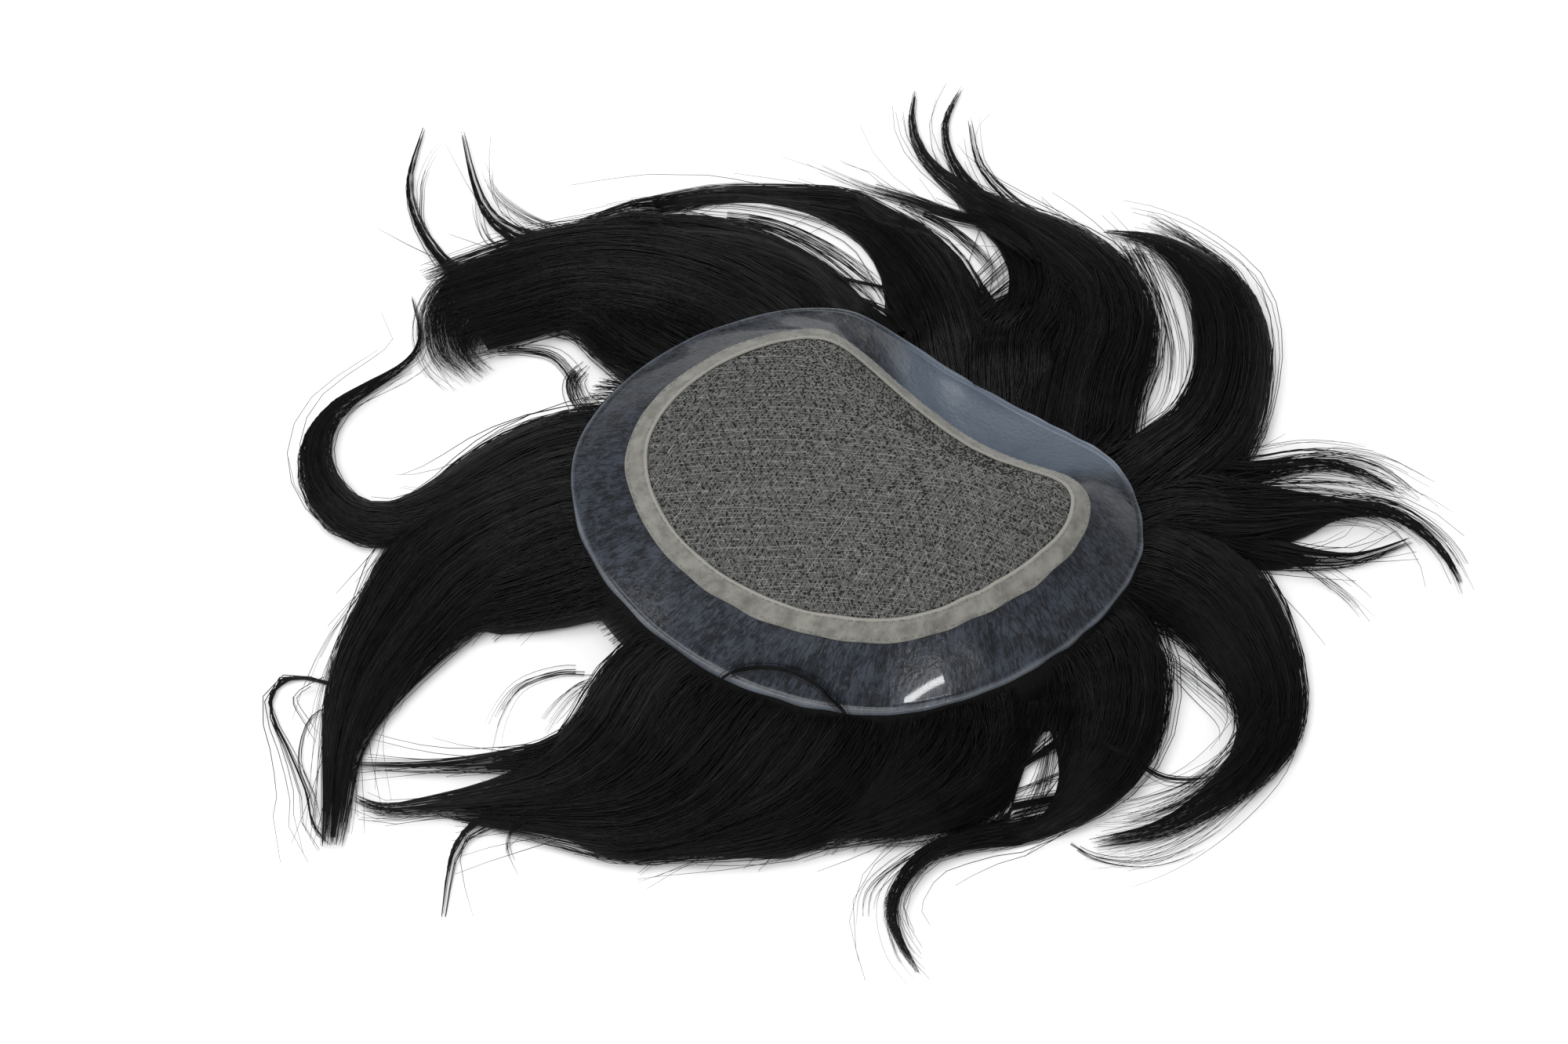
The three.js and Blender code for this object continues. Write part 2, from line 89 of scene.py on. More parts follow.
# Locks round the base: bearing of the root under the base where there is one, and stations of [x, y, width]
# in shares of half the spread and of LOCK_WIDTH
LOCKS = {
    "right_bend": (20, [
        [0.375, 0.24, 1.15], [0.405, 0.36, 1.2], [0.39, 0.46, 1.12], [0.33, 0.55, 0.9],
        [0.25, 0.635, 0.5], [0.17, 0.715, 0.22], [0.11, 0.79, 0.13], [0.085, 0.88, 0.08],
        [0.092, 0.97, 0.04],
    ]),
    "far_right": (45, [
        [0.25, 0.33, 1.15], [0.295, 0.44, 1.1], [0.28, 0.55, 0.8], [0.225, 0.645, 0.4],
        [0.18, 0.73, 0.18], [0.15, 0.81, 0.1], [0.145, 0.89, 0.07], [0.18, 0.985, 0.04],
    ]),
    "far_right_wisp": (None, [
        [0.36, 0.56, 0.35], [0.31, 0.63, 0.22], [0.25, 0.7, 0.13], [0.205, 0.78, 0.09],
        [0.19, 0.9, 0.05],
    ]),
    "far_arc": (68, [
        [0.125, 0.44, 1.05], [0.075, 0.55, 0.95], [0.005, 0.635, 0.7], [-0.13, 0.69, 0.42],
        [-0.29, 0.705, 0.3], [-0.42, 0.668, 0.2], [-0.56, 0.61, 0.06],
    ]),
    "far": (92, [
        [-0.02, 0.37, 1], [-0.1, 0.46, 1], [-0.2, 0.53, 1], [-0.32, 0.57, 0.95],
        [-0.46, 0.565, 0.8], [-0.66, 0.52, 0.4],
    ]),
    "far_left": (125, [
        [-0.275, 0.44, 1.5], [-0.405, 0.49, 1.45], [-0.53, 0.49, 1.3], [-0.65, 0.445, 1.25],
        [-0.755, 0.4, 1.15],
    ]),
    "far_left_inner": (152, [
        [-0.395, 0.33, 0.9], [-0.46, 0.41, 0.9], [-0.55, 0.45, 0.8],
    ]),
    "far_left_corner_wisp": (None, [
        [-0.7, 0.47, 0.3], [-0.765, 0.56, 0.16], [-0.805, 0.65, 0.12], [-0.82, 0.74, 0.08],
        [-0.8, 0.875, 0.04],
    ]),
    "far_left_wisp": (None, [
        [-0.53, 0.56, 0.4], [-0.62, 0.6, 0.22], [-0.67, 0.65, 0.14], [-0.7, 0.73, 0.09],
        [-0.73, 0.87, 0.04],
    ]),
    "left_hook": (170, [
        [-0.52, 0.05, 1.1], [-0.63, 0, 1.05], [-0.72, -0.045, 0.75], [-0.8, -0.07, 0.52],
        [-0.87, -0.06, 0.47], [-0.92, -0.005, 0.42], [-0.943, 0.06, 0.36], [-0.942, 0.125, 0.3],
        [-0.915, 0.19, 0.22], [-0.86, 0.245, 0.14], [-0.81, 0.29, 0.08], [-0.78, 0.345, 0.05],
        [-0.8, 0.46, 0.03],
    ]),
    "left_fall": (185, [
        [-0.5, -0.06, 1.35], [-0.62, -0.11, 1.45], [-0.715, -0.19, 1.35], [-0.775, -0.29, 1.1],
        [-0.82, -0.38, 0.88], [-0.85, -0.47, 0.62], [-0.865, -0.56, 0.38], [-0.867, -0.66, 0.28],
        [-0.87, -0.745, 0.2],
    ]),
    "left_inner": (205, [
        [-0.44, -0.18, 1.15], [-0.55, -0.215, 1], [-0.65, -0.24, 0.85], [-0.73, -0.3, 0.6],
    ]),
    "left_loop": (None, [
        [-0.84, -0.43, 0.06], [-0.93, -0.395, 0.04], [-0.975, -0.4, 0.035], [-0.99, -0.45, 0.035],
        [-0.95, -0.55, 0.035], [-0.915, -0.64, 0.035], [-0.9, -0.71, 0.035], [-0.87, -0.74, 0.04],
    ]),
    "near_left_strand": (None, [
        [-0.42, -0.48, 0.6], [-0.51, -0.555, 0.38], [-0.61, -0.575, 0.25], [-0.72, -0.585, 0.16],
        [-0.85, -0.58, 0.1],
    ]),
    "near_left": (220, [
        [-0.36, -0.43, 1.05], [-0.43, -0.55, 1], [-0.51, -0.62, 0.75], [-0.61, -0.645, 0.4],
        [-0.71, -0.66, 0.22], [-0.8, -0.667, 0.12], [-0.84, -0.64, 0.07],
    ]),
    "near_left_low": (242, [
        [-0.2, -0.5, 1.35], [-0.3, -0.635, 1.25], [-0.39, -0.69, 0.95], [-0.5, -0.695, 0.55],
        [-0.68, -0.68, 0.1],
    ]),
    "near_left_wisp": (None, [
        [-0.57, -0.675, 0.2], [-0.64, -0.7, 0.13], [-0.67, -0.745, 0.09], [-0.685, -0.88, 0.04],
    ]),
    "near": (260, [
        [-0.05, -0.54, 1.35], [-0.12, -0.645, 1.2], [-0.21, -0.705, 0.85], [-0.4, -0.765, 0.2],
    ]),
    "near_middle": (280, [
        [0.12, -0.52, 1.3], [0.06, -0.62, 1.1], [-0.02, -0.68, 0.7], [-0.19, -0.745, 0.15],
    ]),
    "near_inner": (308, [
        [0.245, -0.44, 1.1], [0.21, -0.555, 0.78], [0.15, -0.64, 0.65], [0.06, -0.695, 0.45],
        [-0.03, -0.72, 0.2],
    ]),
    "near_right": (335, [
        [0.375, -0.34, 1.1], [0.395, -0.45, 1.05], [0.375, -0.55, 0.95], [0.32, -0.64, 0.65],
        [0.24, -0.7, 0.36], [0.15, -0.73, 0.26], [0.085, -0.755, 0.2], [0.045, -0.8, 0.15],
        [0.02, -0.87, 0.1], [0.062, -0.985, 0.04],
    ]),
    "right_low": (350, [
        [0.45, -0.17, 1.2], [0.56, -0.23, 1.1], [0.615, -0.33, 0.95], [0.645, -0.43, 0.75],
        [0.64, -0.52, 0.6], [0.595, -0.6, 0.42], [0.53, -0.66, 0.28], [0.45, -0.71, 0.18],
        [0.34, -0.735, 0.1],
    ]),
    "right_low_wisp": (None, [
        [0.52, -0.1, 0.6], [0.65, -0.13, 0.4], [0.73, -0.145, 0.25], [0.81, -0.145, 0.14],
        [0.91, -0.1, 0.06],
    ]),
    "right": (0, [
        [0.52, -0.06, 1.1], [0.63, -0.06, 0.85], [0.72, -0.05, 0.55], [0.8, -0.04, 0.28],
        [0.87, -0.045, 0.2], [0.92, -0.08, 0.15], [0.96, -0.135, 0.1], [0.985, -0.2, 0.05],
    ]),
    "right_high_wisp": (None, [
        [0.56, 0, 0.5], [0.64, 0.04, 0.3], [0.72, 0.06, 0.18], [0.8, 0.065, 0.11],
        [0.89, 0.01, 0.05],
    ]),
    "right_outer": (5, [
        [0.5, 0.04, 1], [0.58, 0.13, 0.95], [0.62, 0.24, 0.85], [0.63, 0.34, 0.82],
        [0.615, 0.44, 0.75], [0.57, 0.52, 0.5], [0.51, 0.585, 0.22], [0.42, 0.615, 0.05],
    ]),
}

# Which piece the strands of a lock go into
STRAND_PIECES = {
    "strands_far": ["right_bend", "far_right", "far_right_wisp", "far_arc", "right_outer"],
    "strands_far_left": ["far", "far_left", "far_left_inner", "far_left_corner_wisp", "far_left_wisp", "left_hook"],
    "strands_left": ["left_fall", "left_inner", "left_loop", "near_left_strand", "near_left", "near_left_low",
                     "near_left_wisp"],
    "strands_near": ["near", "near_middle", "near_inner", "near_right", "right_low", "right_low_wisp", "right",
                     "right_high_wisp"],
}

# Single hairs that lie apart from the locks: how many side by side, how far they spread in mm, and points
# in shares of half the spread
STRAY_HAIRS = [
    (6, 3.0, [[-0.765, 0.56], [-0.79, 0.635], [-0.795, 0.7], [-0.795, 0.74], [-0.78, 0.8], [-0.755, 0.845]]),
    (7, 4.0, [[-0.6, 0.56], [-0.665, 0.59], [-0.69, 0.64], [-0.7, 0.74]]),
    (10, 4.0, [[-0.5, 0.62], [-0.555, 0.63], [-0.61, 0.66], [-0.66, 0.715], [-0.685, 0.79]]),
    (14, 7.0, [[-0.3, 0.6], [-0.42, 0.62], [-0.54, 0.6], [-0.62, 0.62], [-0.67, 0.7]]),
    (80, 5.0, [[0.3, 0.5], [0.268, 0.549], [0.217, 0.61], [0.153, 0.66], [0.077, 0.697], [-0.007, 0.732]]),
    (12, 2.5, [[0.217, 0.61], [0.153, 0.66], [0.077, 0.697], [-0.007, 0.732], [-0.105, 0.791]]),
    (26, 8.0, [[-0.33, 0.665], [-0.175, 0.64], [-0.09, 0.59], [-0.02, 0.52], [0.02, 0.43], [0.03, 0.36]]),
    (18, 6.0, [[0.06, 0.67], [0.138, 0.635], [0.192, 0.578], [0.22, 0.511], [0.228, 0.42]]),
    (8, 4.0, [[0.39, 0.5], [0.4, 0.427], [0.387, 0.362], [0.345, 0.27]]),
    (26, 10.0, [[0.46, 0.6], [0.482, 0.549], [0.511, 0.436], [0.521, 0.325], [0.499, 0.216], [0.44, 0.12]]),
    (24, 8.0, [[0.669, 0.343], [0.636, 0.474], [0.587, 0.568], [0.52, 0.616], [0.479, 0.641]]),
    (10, 6.0, [[0.66, 0.44], [0.61, 0.55], [0.55, 0.62], [0.5, 0.665]]),
    (44, 13.0, [[0.54, 0.04], [0.651, 0.055], [0.758, 0.069], [0.864, 0.055], [0.931, -0.006]]),
    (54, 14.0, [[0.56, -0.04], [0.645, -0.032], [0.778, -0.024], [0.882, -0.05], [0.955, -0.119]]),
    (24, 7.0, [[0.778, -0.024], [0.882, -0.05], [0.955, -0.119], [0.992, -0.212]]),
    (14, 8.0, [[0.56, -0.11], [0.613, -0.136], [0.716, -0.161], [0.79, -0.212], [0.831, -0.271]]),
    (9, 5.0, [[-0.46, -0.38], [-0.52, -0.38], [-0.585, -0.41], [-0.62, -0.475], [-0.635, -0.545]]),
    (6, 4.0, [[-0.46, -0.4], [-0.485, -0.415], [-0.515, -0.45], [-0.555, -0.52]]),
    (18, 4.0, [[-0.66, 0.32], [-0.6, 0.335], [-0.545, 0.32], [-0.505, 0.26], [-0.48, 0.19]]),
    (24, 7.0, [[-0.49, 0.3], [-0.515, 0.26], [-0.505, 0.21], [-0.47, 0.175], [-0.44, 0.17]]),
    (4, 2.0, [[-0.86, -0.47], [-0.918, -0.476], [-0.931, -0.564], [-0.9, -0.659], [-0.9, -0.75]]),
    (3, 2.0, [[-0.88, -0.4], [-0.95, -0.435], [-0.925, -0.49], [-0.895, -0.545]]),
    (6, 2.5, [[-0.52, -0.67], [-0.595, -0.685], [-0.64, -0.685], [-0.685, -0.68], [-0.72, -0.67]]),
    (5, 2.0, [[-0.54, -0.7], [-0.575, -0.71], [-0.59, -0.73], [-0.585, -0.76], [-0.57, -0.795]]),
    (18, 6.0, [[0.29, -0.5], [0.27, -0.6], [0.24, -0.68], [0.2, -0.72]]),
    (14, 11.0, [[0.45, -0.33], [0.54, -0.4], [0.6, -0.5], [0.595, -0.6]]),
    (16, 3.0, [[0.36, -0.56], [0.41, -0.585], [0.47, -0.6], [0.54, -0.6], [0.6, -0.58]]),
    (44, 12.0, [[0.64, -0.46], [0.595, -0.55], [0.53, -0.62], [0.45, -0.67], [0.36, -0.7]]),
    (40, 13.0, [[0.65, -0.5], [0.62, -0.58], [0.56, -0.65], [0.49, -0.7], [0.414, -0.729], [0.33, -0.735]]),
    (5, 5.0, [[0.3, -0.72], [0.35, -0.755], [0.43, -0.765], [0.5, -0.74], [0.57, -0.69]]),
    (26, 6.0, [[0.2, -0.72], [0.1, -0.75], [0.045, -0.8], [0.02, -0.86], [0.035, -0.94], [0.075, -1.0]]),
    (10, 7.0, [[0.12, -0.72], [0.03, -0.78], [-0.01, -0.83], [-0.015, -0.89]]),
]

# Wisp of hair that lies over the near rim: points in mm
RIM_WISP = [[-61, -101, 22], [-56.7, -94.8, 26.4], [-46.4, -93.6, 31.6], [-31.3, -96.4, 34.3],
            [-20.8, -101.4, 32.4], [-16.4, -105.2, 29.6], [-11.7, -108.8, 26.6], [-9.6, -111.7, 21.5],
            [-6.6, -121.3, 17], [-4.3, -132.9, 14], [-3.2, -145, 12]]

# Partings where the locks leave the surface below bare: half width in mm, and points in shares of half the
# spread
PARTINGS = [
    (9.5, [[-0.32, 0.675], [-0.2, 0.662], [-0.11, 0.62], [-0.03, 0.545], [0.025, 0.42]]),
    (7.5, [[0.05, 0.672], [0.11, 0.658], [0.178, 0.607], [0.219, 0.53], [0.235, 0.436]]),
    (7.5, [[0.282, -0.5], [0.268, -0.6], [0.232, -0.705]]),
]
PARTING_SKEW = 1.35
ROOM_PAST_PARTING = 7.0

# Hair that curls round the blunt end of the far left lock: how many, spread in mm, height in mm and points
# in shares of half the spread
CURLS = [
    (150, 9.0, 11.0, [[-0.6, 0.51], [-0.66, 0.495], [-0.724, 0.476], [-0.756, 0.405], [-0.742, 0.31], [-0.69, 0.257]]),
    (110, 9.0, 10.0, [[-0.6, 0.46], [-0.67, 0.44], [-0.72, 0.4], [-0.715, 0.33], [-0.675, 0.265]]),
    (90, 8.0, 9.0, [[-0.56, 0.42], [-0.64, 0.4], [-0.69, 0.36], [-0.695, 0.31], [-0.66, 0.27]]),
]

CAMERA_AIM = Vector((-33.87, -23.0, 20.0)) * MM
CAMERA_DISTANCE = 1.28
CAMERA_ELEVATION = math.radians(60)
CAMERA_LENS = 75.0


# Colours and nodes

def colour(hex_value):
    """Linear red, green and blue of an sRGB hex colour."""
    parts = [int(hex_value[i:i + 2], 16) / 255 for i in (1, 3, 5)]
    return tuple(p / 12.92 if p <= 0.04045 else ((p + 0.055) / 1.055) ** 2.4 for p in parts)


def add_node(tree, kind, settings=None, inputs=None):
    """Adds a node; an input is a value or the socket that feeds it."""
    node = tree.nodes.new(kind)
    for name, value in (settings or {}).items():
        setattr(node, name, value)
    for key, value in (inputs or {}).items():
        if isinstance(value, bpy.types.NodeSocket):
            tree.links.new(value, node.inputs[key])
        else:
            node.inputs[key].default_value = value
    return node


def ramp_stops(node, stops):
    """Sets a colour ramp's stops from pairs of position and linear colour."""
    elements = node.color_ramp.elements
    while len(elements) < len(stops):
        elements.new(1.0)
    for element, (position, value) in zip(elements, stops):
        element.position = position
        element.color = (*value, 1.0)


def new_material(name):
    """An empty node material and its tree."""
    finish = bpy.data.materials.new(name)
    finish.use_nodes = True
    finish.node_tree.nodes.clear()
    return finish, finish.node_tree


def finish_material(tree, shader):
    add_node(tree, "ShaderNodeOutputMaterial", inputs={"Surface": shader.outputs[0]})


# Base surface

def outline_reach(bearing):
    along = np.abs(np.cos(bearing)) / BASE_HALF_LENGTH
    across = np.abs(np.sin(bearing)) / BASE_HALF_WIDTH
    even = (along ** BASE_FULLNESS + across ** BASE_FULLNESS) ** (-1 / BASE_FULLNESS)
    return even * (1 - BASE_TAPER * np.cos(bearing))


def dome_point(share, bearing):
    reach = outline_reach(bearing) * share
    x, y = reach * np.cos(bearing), reach * np.sin(bearing)
    c, s = math.cos(BASE_TURN), math.sin(BASE_TURN)
    return np.stack([x * c - y * s, x * s + y * c, CROWN_RISE * (1 - share ** 2)], -1)


DENT_HEADING = DENT_BEARING + BASE_TURN
DENT_NORMAL = np.array([
    math.cos(DENT_HEADING) * math.cos(DENT_SLOPE),
    math.sin(DENT_HEADING) * math.cos(DENT_SLOPE),
    math.sin(DENT_SLOPE),
])


def fold_back(points, plane):
    past = points @ DENT_NORMAL - plane
    return points - (past + np.hypot(past, DENT_SOFTNESS))[..., None] * DENT_NORMAL


def find_dent_plane():
    """Distance of the dent's plane at which the edge comes down to its height there."""
    edge = dome_point(np.ones(720), np.linspace(0, 2 * np.pi, 720, endpoint=False))
    deep, shallow = 0.0, BASE_HALF_LENGTH + BASE_HALF_WIDTH
    for _ in range(40):
        plane = (deep + shallow) / 2
        if fold_back(edge, plane)[:, 2].min() + BASE_PLACE[2] < DENT_EDGE_HEIGHT:
            deep = plane
        else:
            shallow = plane
    return shallow


DENT_PLANE = find_dent_plane()


def base_point(share, bearing):
    share, bearing = np.broadcast_arrays(np.asarray(share, float), np.asarray(bearing, float))
    return fold_back(dome_point(share, bearing), DENT_PLANE) + BASE_PLACE


def base_normal(share, bearing):
    step = 0.01
    at = np.maximum(share, 2 * step)
    outwards = base_point(at + step, bearing) - base_point(at - step, bearing)
    around = base_point(at, bearing + step) - base_point(at, bearing - step)
    normal = np.cross(outwards, around)
    return normal / np.linalg.norm(normal, axis=-1, keepdims=True)


def dome_arc(bearing):
    """Length of the dome from its crown to its edge."""
    reach = outline_reach(bearing)
    slope = 2 * CROWN_RISE / reach
    return reach / 2 * (np.hypot(1, slope) + np.arcsinh(slope) / slope)


def inset_share(inset, bearing):
    """Share of a point that lies so many mm in from the edge, along the dome."""
    return 1 - inset / dome_arc(bearing)


def skin_shown(bearing):
    return SKIN_SHOWN + SKIN_DENT_EXTRA * np.maximum(0, np.cos(bearing - DENT_BEARING)) ** 2


def waves(bearing, seed, lowest, highest):
    """Smooth random unevenness round the base, from about -1 to 1."""
    rng = np.random.default_rng(seed)
    counts = np.arange(lowest, highest + 1)
    heights = rng.normal(size=len(counts)) / np.sqrt(len(counts))
    starts = rng.uniform(0, 2 * np.pi, len(counts))
    return (heights * np.cos(bearing[..., None] * counts + starts)).sum(-1)


def base_ring(inset, bearing, offset):
    """Points at an inset from the edge and an offset off the scalp side."""
    share = inset_share(inset, bearing)
    return base_point(share, bearing) + base_normal(share, bearing) * np.asarray(offset)[..., None]


# Meshes

def loft(rings, uv, ends=None):
    """Corners, faces and their UVs of quads through rings; ends are two points that close it, or its last
    ring joins its first. uv has one more column than a ring has points."""
    rings = np.asarray(rings)
    count, sides = rings.shape[:2]
    points = list(map(tuple, rings.reshape(-1, 3)))
    faces, corners = [], []
    for ring in range(count if ends is None else count - 1):
        following = (ring + 1) % count
        for side in range(sides):
            beside = (side + 1) % sides
            faces.append((ring * sides + side, following * sides + side,
                          following * sides + beside, ring * sides + beside))
            corners += [uv[ring][side], uv[following][side], uv[following][side + 1], uv[ring][side + 1]]
    if ends is not None:
        first, last = len(points), len(points) + 1
        points += [tuple(ends[0]), tuple(ends[1])]
        end = (count - 1) * sides
        for side in range(sides):
            beside = (side + 1) % sides
            faces.append((first, side, beside))
            corners += [(uv[0][side] + uv[0][side + 1]) / 2, uv[0][side], uv[0][side + 1]]
            faces.append((end + side, last, end + beside))
            corners += [uv[-1][side], (uv[-1][side] + uv[-1][side + 1]) / 2, uv[-1][side + 1]]
    return points, faces, corners


def make_object(name, parts, finish, sharp=40):
    """One object of several lofts, smooth up to an angle in degrees."""
    points, faces, corners = [], [], []
    for part_points, part_faces, part_corners in parts:
        shift = len(points)
        points += part_points
        faces += [tuple(corner + shift for corner in face) for face in part_faces]
        corners += part_corners
    mesh = bpy.data.meshes.new(name)
    mesh.from_pydata([tuple(c * MM for c in point) for point in points], [], faces)
    layer = mesh.uv_layers.new(name="UVMap")
    layer.data.foreach_set("uv", (np.array(corners) * MM).ravel())
    mesh.polygons.foreach_set("use_smooth", np.ones(len(faces), bool))
    mesh.set_sharp_from_angle(angle=math.radians(sharp))
    mesh.materials.append(finish)
    mesh.update()
    thing = bpy.data.objects.new(name, mesh)
    bpy.context.scene.collection.objects.link(thing)
    return thing


def path_object(name, paths, radii, tints):
    """A mesh of bare edges along paths, with the thickness and tint of each point as attributes."""
    points = np.concatenate(paths)
    starts = np.cumsum([0] + [len(path) for path in paths])
    edges = np.concatenate([
        np.stack([np.arange(a, b - 1), np.arange(a + 1, b)], -1) for a, b in zip(starts, starts[1:])
    ])
    mesh = bpy.data.meshes.new(name)
    mesh.from_pydata((points * MM).tolist(), edges.tolist(), [])
    mesh.attributes.new("radius_share", "FLOAT", "POINT").data.foreach_set("value", np.concatenate(radii))
    tint = np.concatenate([np.full(len(path), value) for path, value in zip(paths, tints)])
    mesh.attributes.new("tint", "FLOAT", "POINT").data.foreach_set("value", tint)
    thing = bpy.data.objects.new(name, mesh)
    bpy.context.scene.collection.objects.link(thing)
    return thing


def new_node_tree(name, inputs):
    """A Geometry Nodes tree with a geometry input and output and named inputs."""
    tree = bpy.data.node_groups.new(name, "GeometryNodeTree")
    tree.interface.new_socket(name="Geometry", in_out="INPUT", socket_type="NodeSocketGeometry")
    tree.interface.new_socket(name="Geometry", in_out="OUTPUT", socket_type="NodeSocketGeometry")
    for label, kind in inputs:
        tree.interface.new_socket(name=label, in_out="INPUT", socket_type=kind)
    return tree, add_node(tree, "NodeGroupInput")


def close_node_tree(tree, geometry, finish):
    """Ends a tree in Realize Instances and Set Material."""
    real = add_node(tree, "GeometryNodeRealizeInstances", inputs={0: geometry})
    smooth = add_node(tree, "GeometryNodeSetShadeSmooth", inputs={0: real.outputs[0]})
    painted = add_node(tree, "GeometryNodeSetMaterial", inputs={0: smooth.outputs[0], "Material": finish})
    add_node(tree, "NodeGroupOutput", inputs={0: painted.outputs[0]})


def tube_tree():
    """Round threads or hairs along the edges of a mesh."""
    tree, given = new_node_tree("Threads along edges", [
        ("Thickness", "NodeSocketFloat"), ("Sides", "NodeSocketInt"), ("Finish", "NodeSocketMaterial"),
    ])
    curve = add_node(tree, "GeometryNodeMeshToCurve", inputs={"Mesh": given.outputs["Geometry"]})
    share = add_node(tree, "GeometryNodeInputNamedAttribute", {"data_type": "FLOAT"}, {"Name": "radius_share"})
    radius = add_node(tree, "ShaderNodeMath", {"operation": "MULTIPLY"},
                      {0: share.outputs["Attribute"], 1: given.outputs["Thickness"]})
    half = add_node(tree, "ShaderNodeMath", {"operation": "MULTIPLY"}, {0: radius.outputs[0], 1: 0.5})
    section = add_node(tree, "GeometryNodeCurvePrimitiveCircle",
                       inputs={"Resolution": given.outputs["Sides"], "Radius": 1.0})
    tube = add_node(tree, "GeometryNodeCurveToMesh", inputs={
        "Curve": curve.outputs[0], "Profile Curve": section.outputs[0], "Scale": half.outputs[0],
        "Fill Caps": True,
    })
    close_node_tree(tree, tube.outputs[0], given.outputs["Finish"])
    return tree


def knot_tree():
    """Small knots strewn over a surface."""
    tree, given = new_node_tree("Knots on a surface", [
        ("Density", "NodeSocketFloat"), ("Size", "NodeSocketFloat"), ("Seed", "NodeSocketInt"),
        ("Finish", "NodeSocketMaterial"),
    ])
    strewn = add_node(tree, "GeometryNodeDistributePointsOnFaces", inputs={
        "Mesh": given.outputs["Geometry"], "Density": given.outputs["Density"], "Seed": given.outputs["Seed"],
    })
    knot = add_node(tree, "GeometryNodeMeshCone", inputs={
        "Vertices": 4, "Radius Top": 0.3, "Radius Bottom": 1.0, "Depth": 1.2,
    })
    scale = add_node(tree, "FunctionNodeRandomValue", {"data_type": "FLOAT"},
                     {2: 0.55, 3: 1.25, "Seed": given.outputs["Seed"]})
    size = add_node(tree, "ShaderNodeMath", {"operation": "MULTIPLY"},
                    {0: scale.outputs[1], 1: given.outputs["Size"]})
    placed = add_node(tree, "GeometryNodeInstanceOnPoints", inputs={
        "Points": strewn.outputs["Points"], "Instance": knot.outputs["Mesh"],
        "Rotation": strewn.outputs["Rotation"], "Scale": size.outputs[0],
    })
    close_node_tree(tree, placed.outputs[0], given.outputs["Finish"])
    return tree


def stitch_tree():
    """Stitches at even steps along a path."""
    tree, given = new_node_tree("Stitches along a path", [
        ("Pitch", "NodeSocketFloat"), ("Length", "NodeSocketFloat"), ("Finish", "NodeSocketMaterial"),
    ])
    curve = add_node(tree, "GeometryNodeMeshToCurve", inputs={"Mesh": given.outputs["Geometry"]})
    steps = add_node(tree, "GeometryNodeCurveToPoints", {"mode": "LENGTH"},
                     {"Curve": curve.outputs[0], "Length": given.outputs["Pitch"]})
    bead = add_node(tree, "GeometryNodeMeshUVSphere", inputs={"Segments": 6, "Rings": 4, "Radius": 0.5})
    shape = add_node(tree, "ShaderNodeVectorMath", {"operation": "SCALE"},
                     {0: (0.3, 0.3, 1.0), "Scale": given.outputs["Length"]})
    placed = add_node(tree, "GeometryNodeInstanceOnPoints", inputs={
        "Points": steps.outputs["Points"], "Instance": bead.outputs["Mesh"],
        "Rotation": steps.outputs["Rotation"], "Scale": shape.outputs[0],
    })
    close_node_tree(tree, placed.outputs[0], given.outputs["Finish"])
    return tree


def grown(name, source, tree, values):
    """The plain mesh that a tree makes of the source, which is then removed."""
    modifier = source.modifiers.new("Nodes", "NODES")
    modifier.node_group = tree
    sockets = {item.name: item.identifier for item in tree.interface.items_tree if item.in_out == "INPUT"}
    for label, value in values.items():
        modifier[sockets[label]] = value
    layers = bpy.context.evaluated_depsgraph_get()
    mesh = bpy.data.meshes.new_from_object(source.evaluated_get(layers), depsgraph=layers)
    bpy.data.objects.remove(source)
    bpy.data.node_groups.remove(tree)
    if not mesh.polygons:
        raise RuntimeError(f"{name} came out empty")
    mesh.name = name
    thing = bpy.data.objects.new(name, mesh)
    bpy.context.scene.collection.objects.link(thing)
    return thing


def settle(thing, slot, *nodes):
    """The piece rides on the one body and stands for CAD nodes, which it hides; the slot is not used."""
    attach(thing, BODY)
    if nodes:
        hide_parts(*nodes)


# Materials

def lace_material(settings):
    """Fine nylon lace, woven: matt grey ground with dark hair roots showing through its holes."""
    finish, tree = new_material("nylon_lace")
    place = add_node(tree, "ShaderNodeUVMap", {"uv_map": "UVMap"})
    holes = add_node(tree, "ShaderNodeTexVoronoi", {"feature": "F1"},
                     {"Vector": place.outputs[0], "Scale": 1 / settings.net_pitch, "Randomness": 0.8})
    patches = add_node(tree, "ShaderNodeTexNoise", inputs={
        "Vector": place.outputs[0], "Scale": 60.0, "Detail": 4.0, "Roughness": 0.6,
    })
    mottled = add_node(tree, "ShaderNodeMath", {"operation": "MULTIPLY_ADD"},
                       {0: patches.outputs[0], 1: 0.5, 2: holes.outputs["Distance"]})
    tone = add_node(tree, "ShaderNodeValToRGB", inputs={0: mottled.outputs[0]})
    ground = settings.lace_colour
    ramp_stops(tone, [(0.3, tuple(c * 0.12 for c in ground)), (0.62, tuple(c * 0.55 for c in ground)),
                      (0.95, tuple(ground))])
    bump = add_node(tree, "ShaderNodeBump", inputs={
        "Strength": 0.6, "Distance": 0.0002, "Height": holes.outputs["Distance"],
    })
    shader = add_node(tree, "ShaderNodeBsdfPrincipled", inputs={
        "Base Color": tone.outputs[0], "Roughness": 0.85, "Specular IOR Level": 0.25, "Normal": bump.outputs[0],
    })
    finish_material(tree, shader)
    return finish


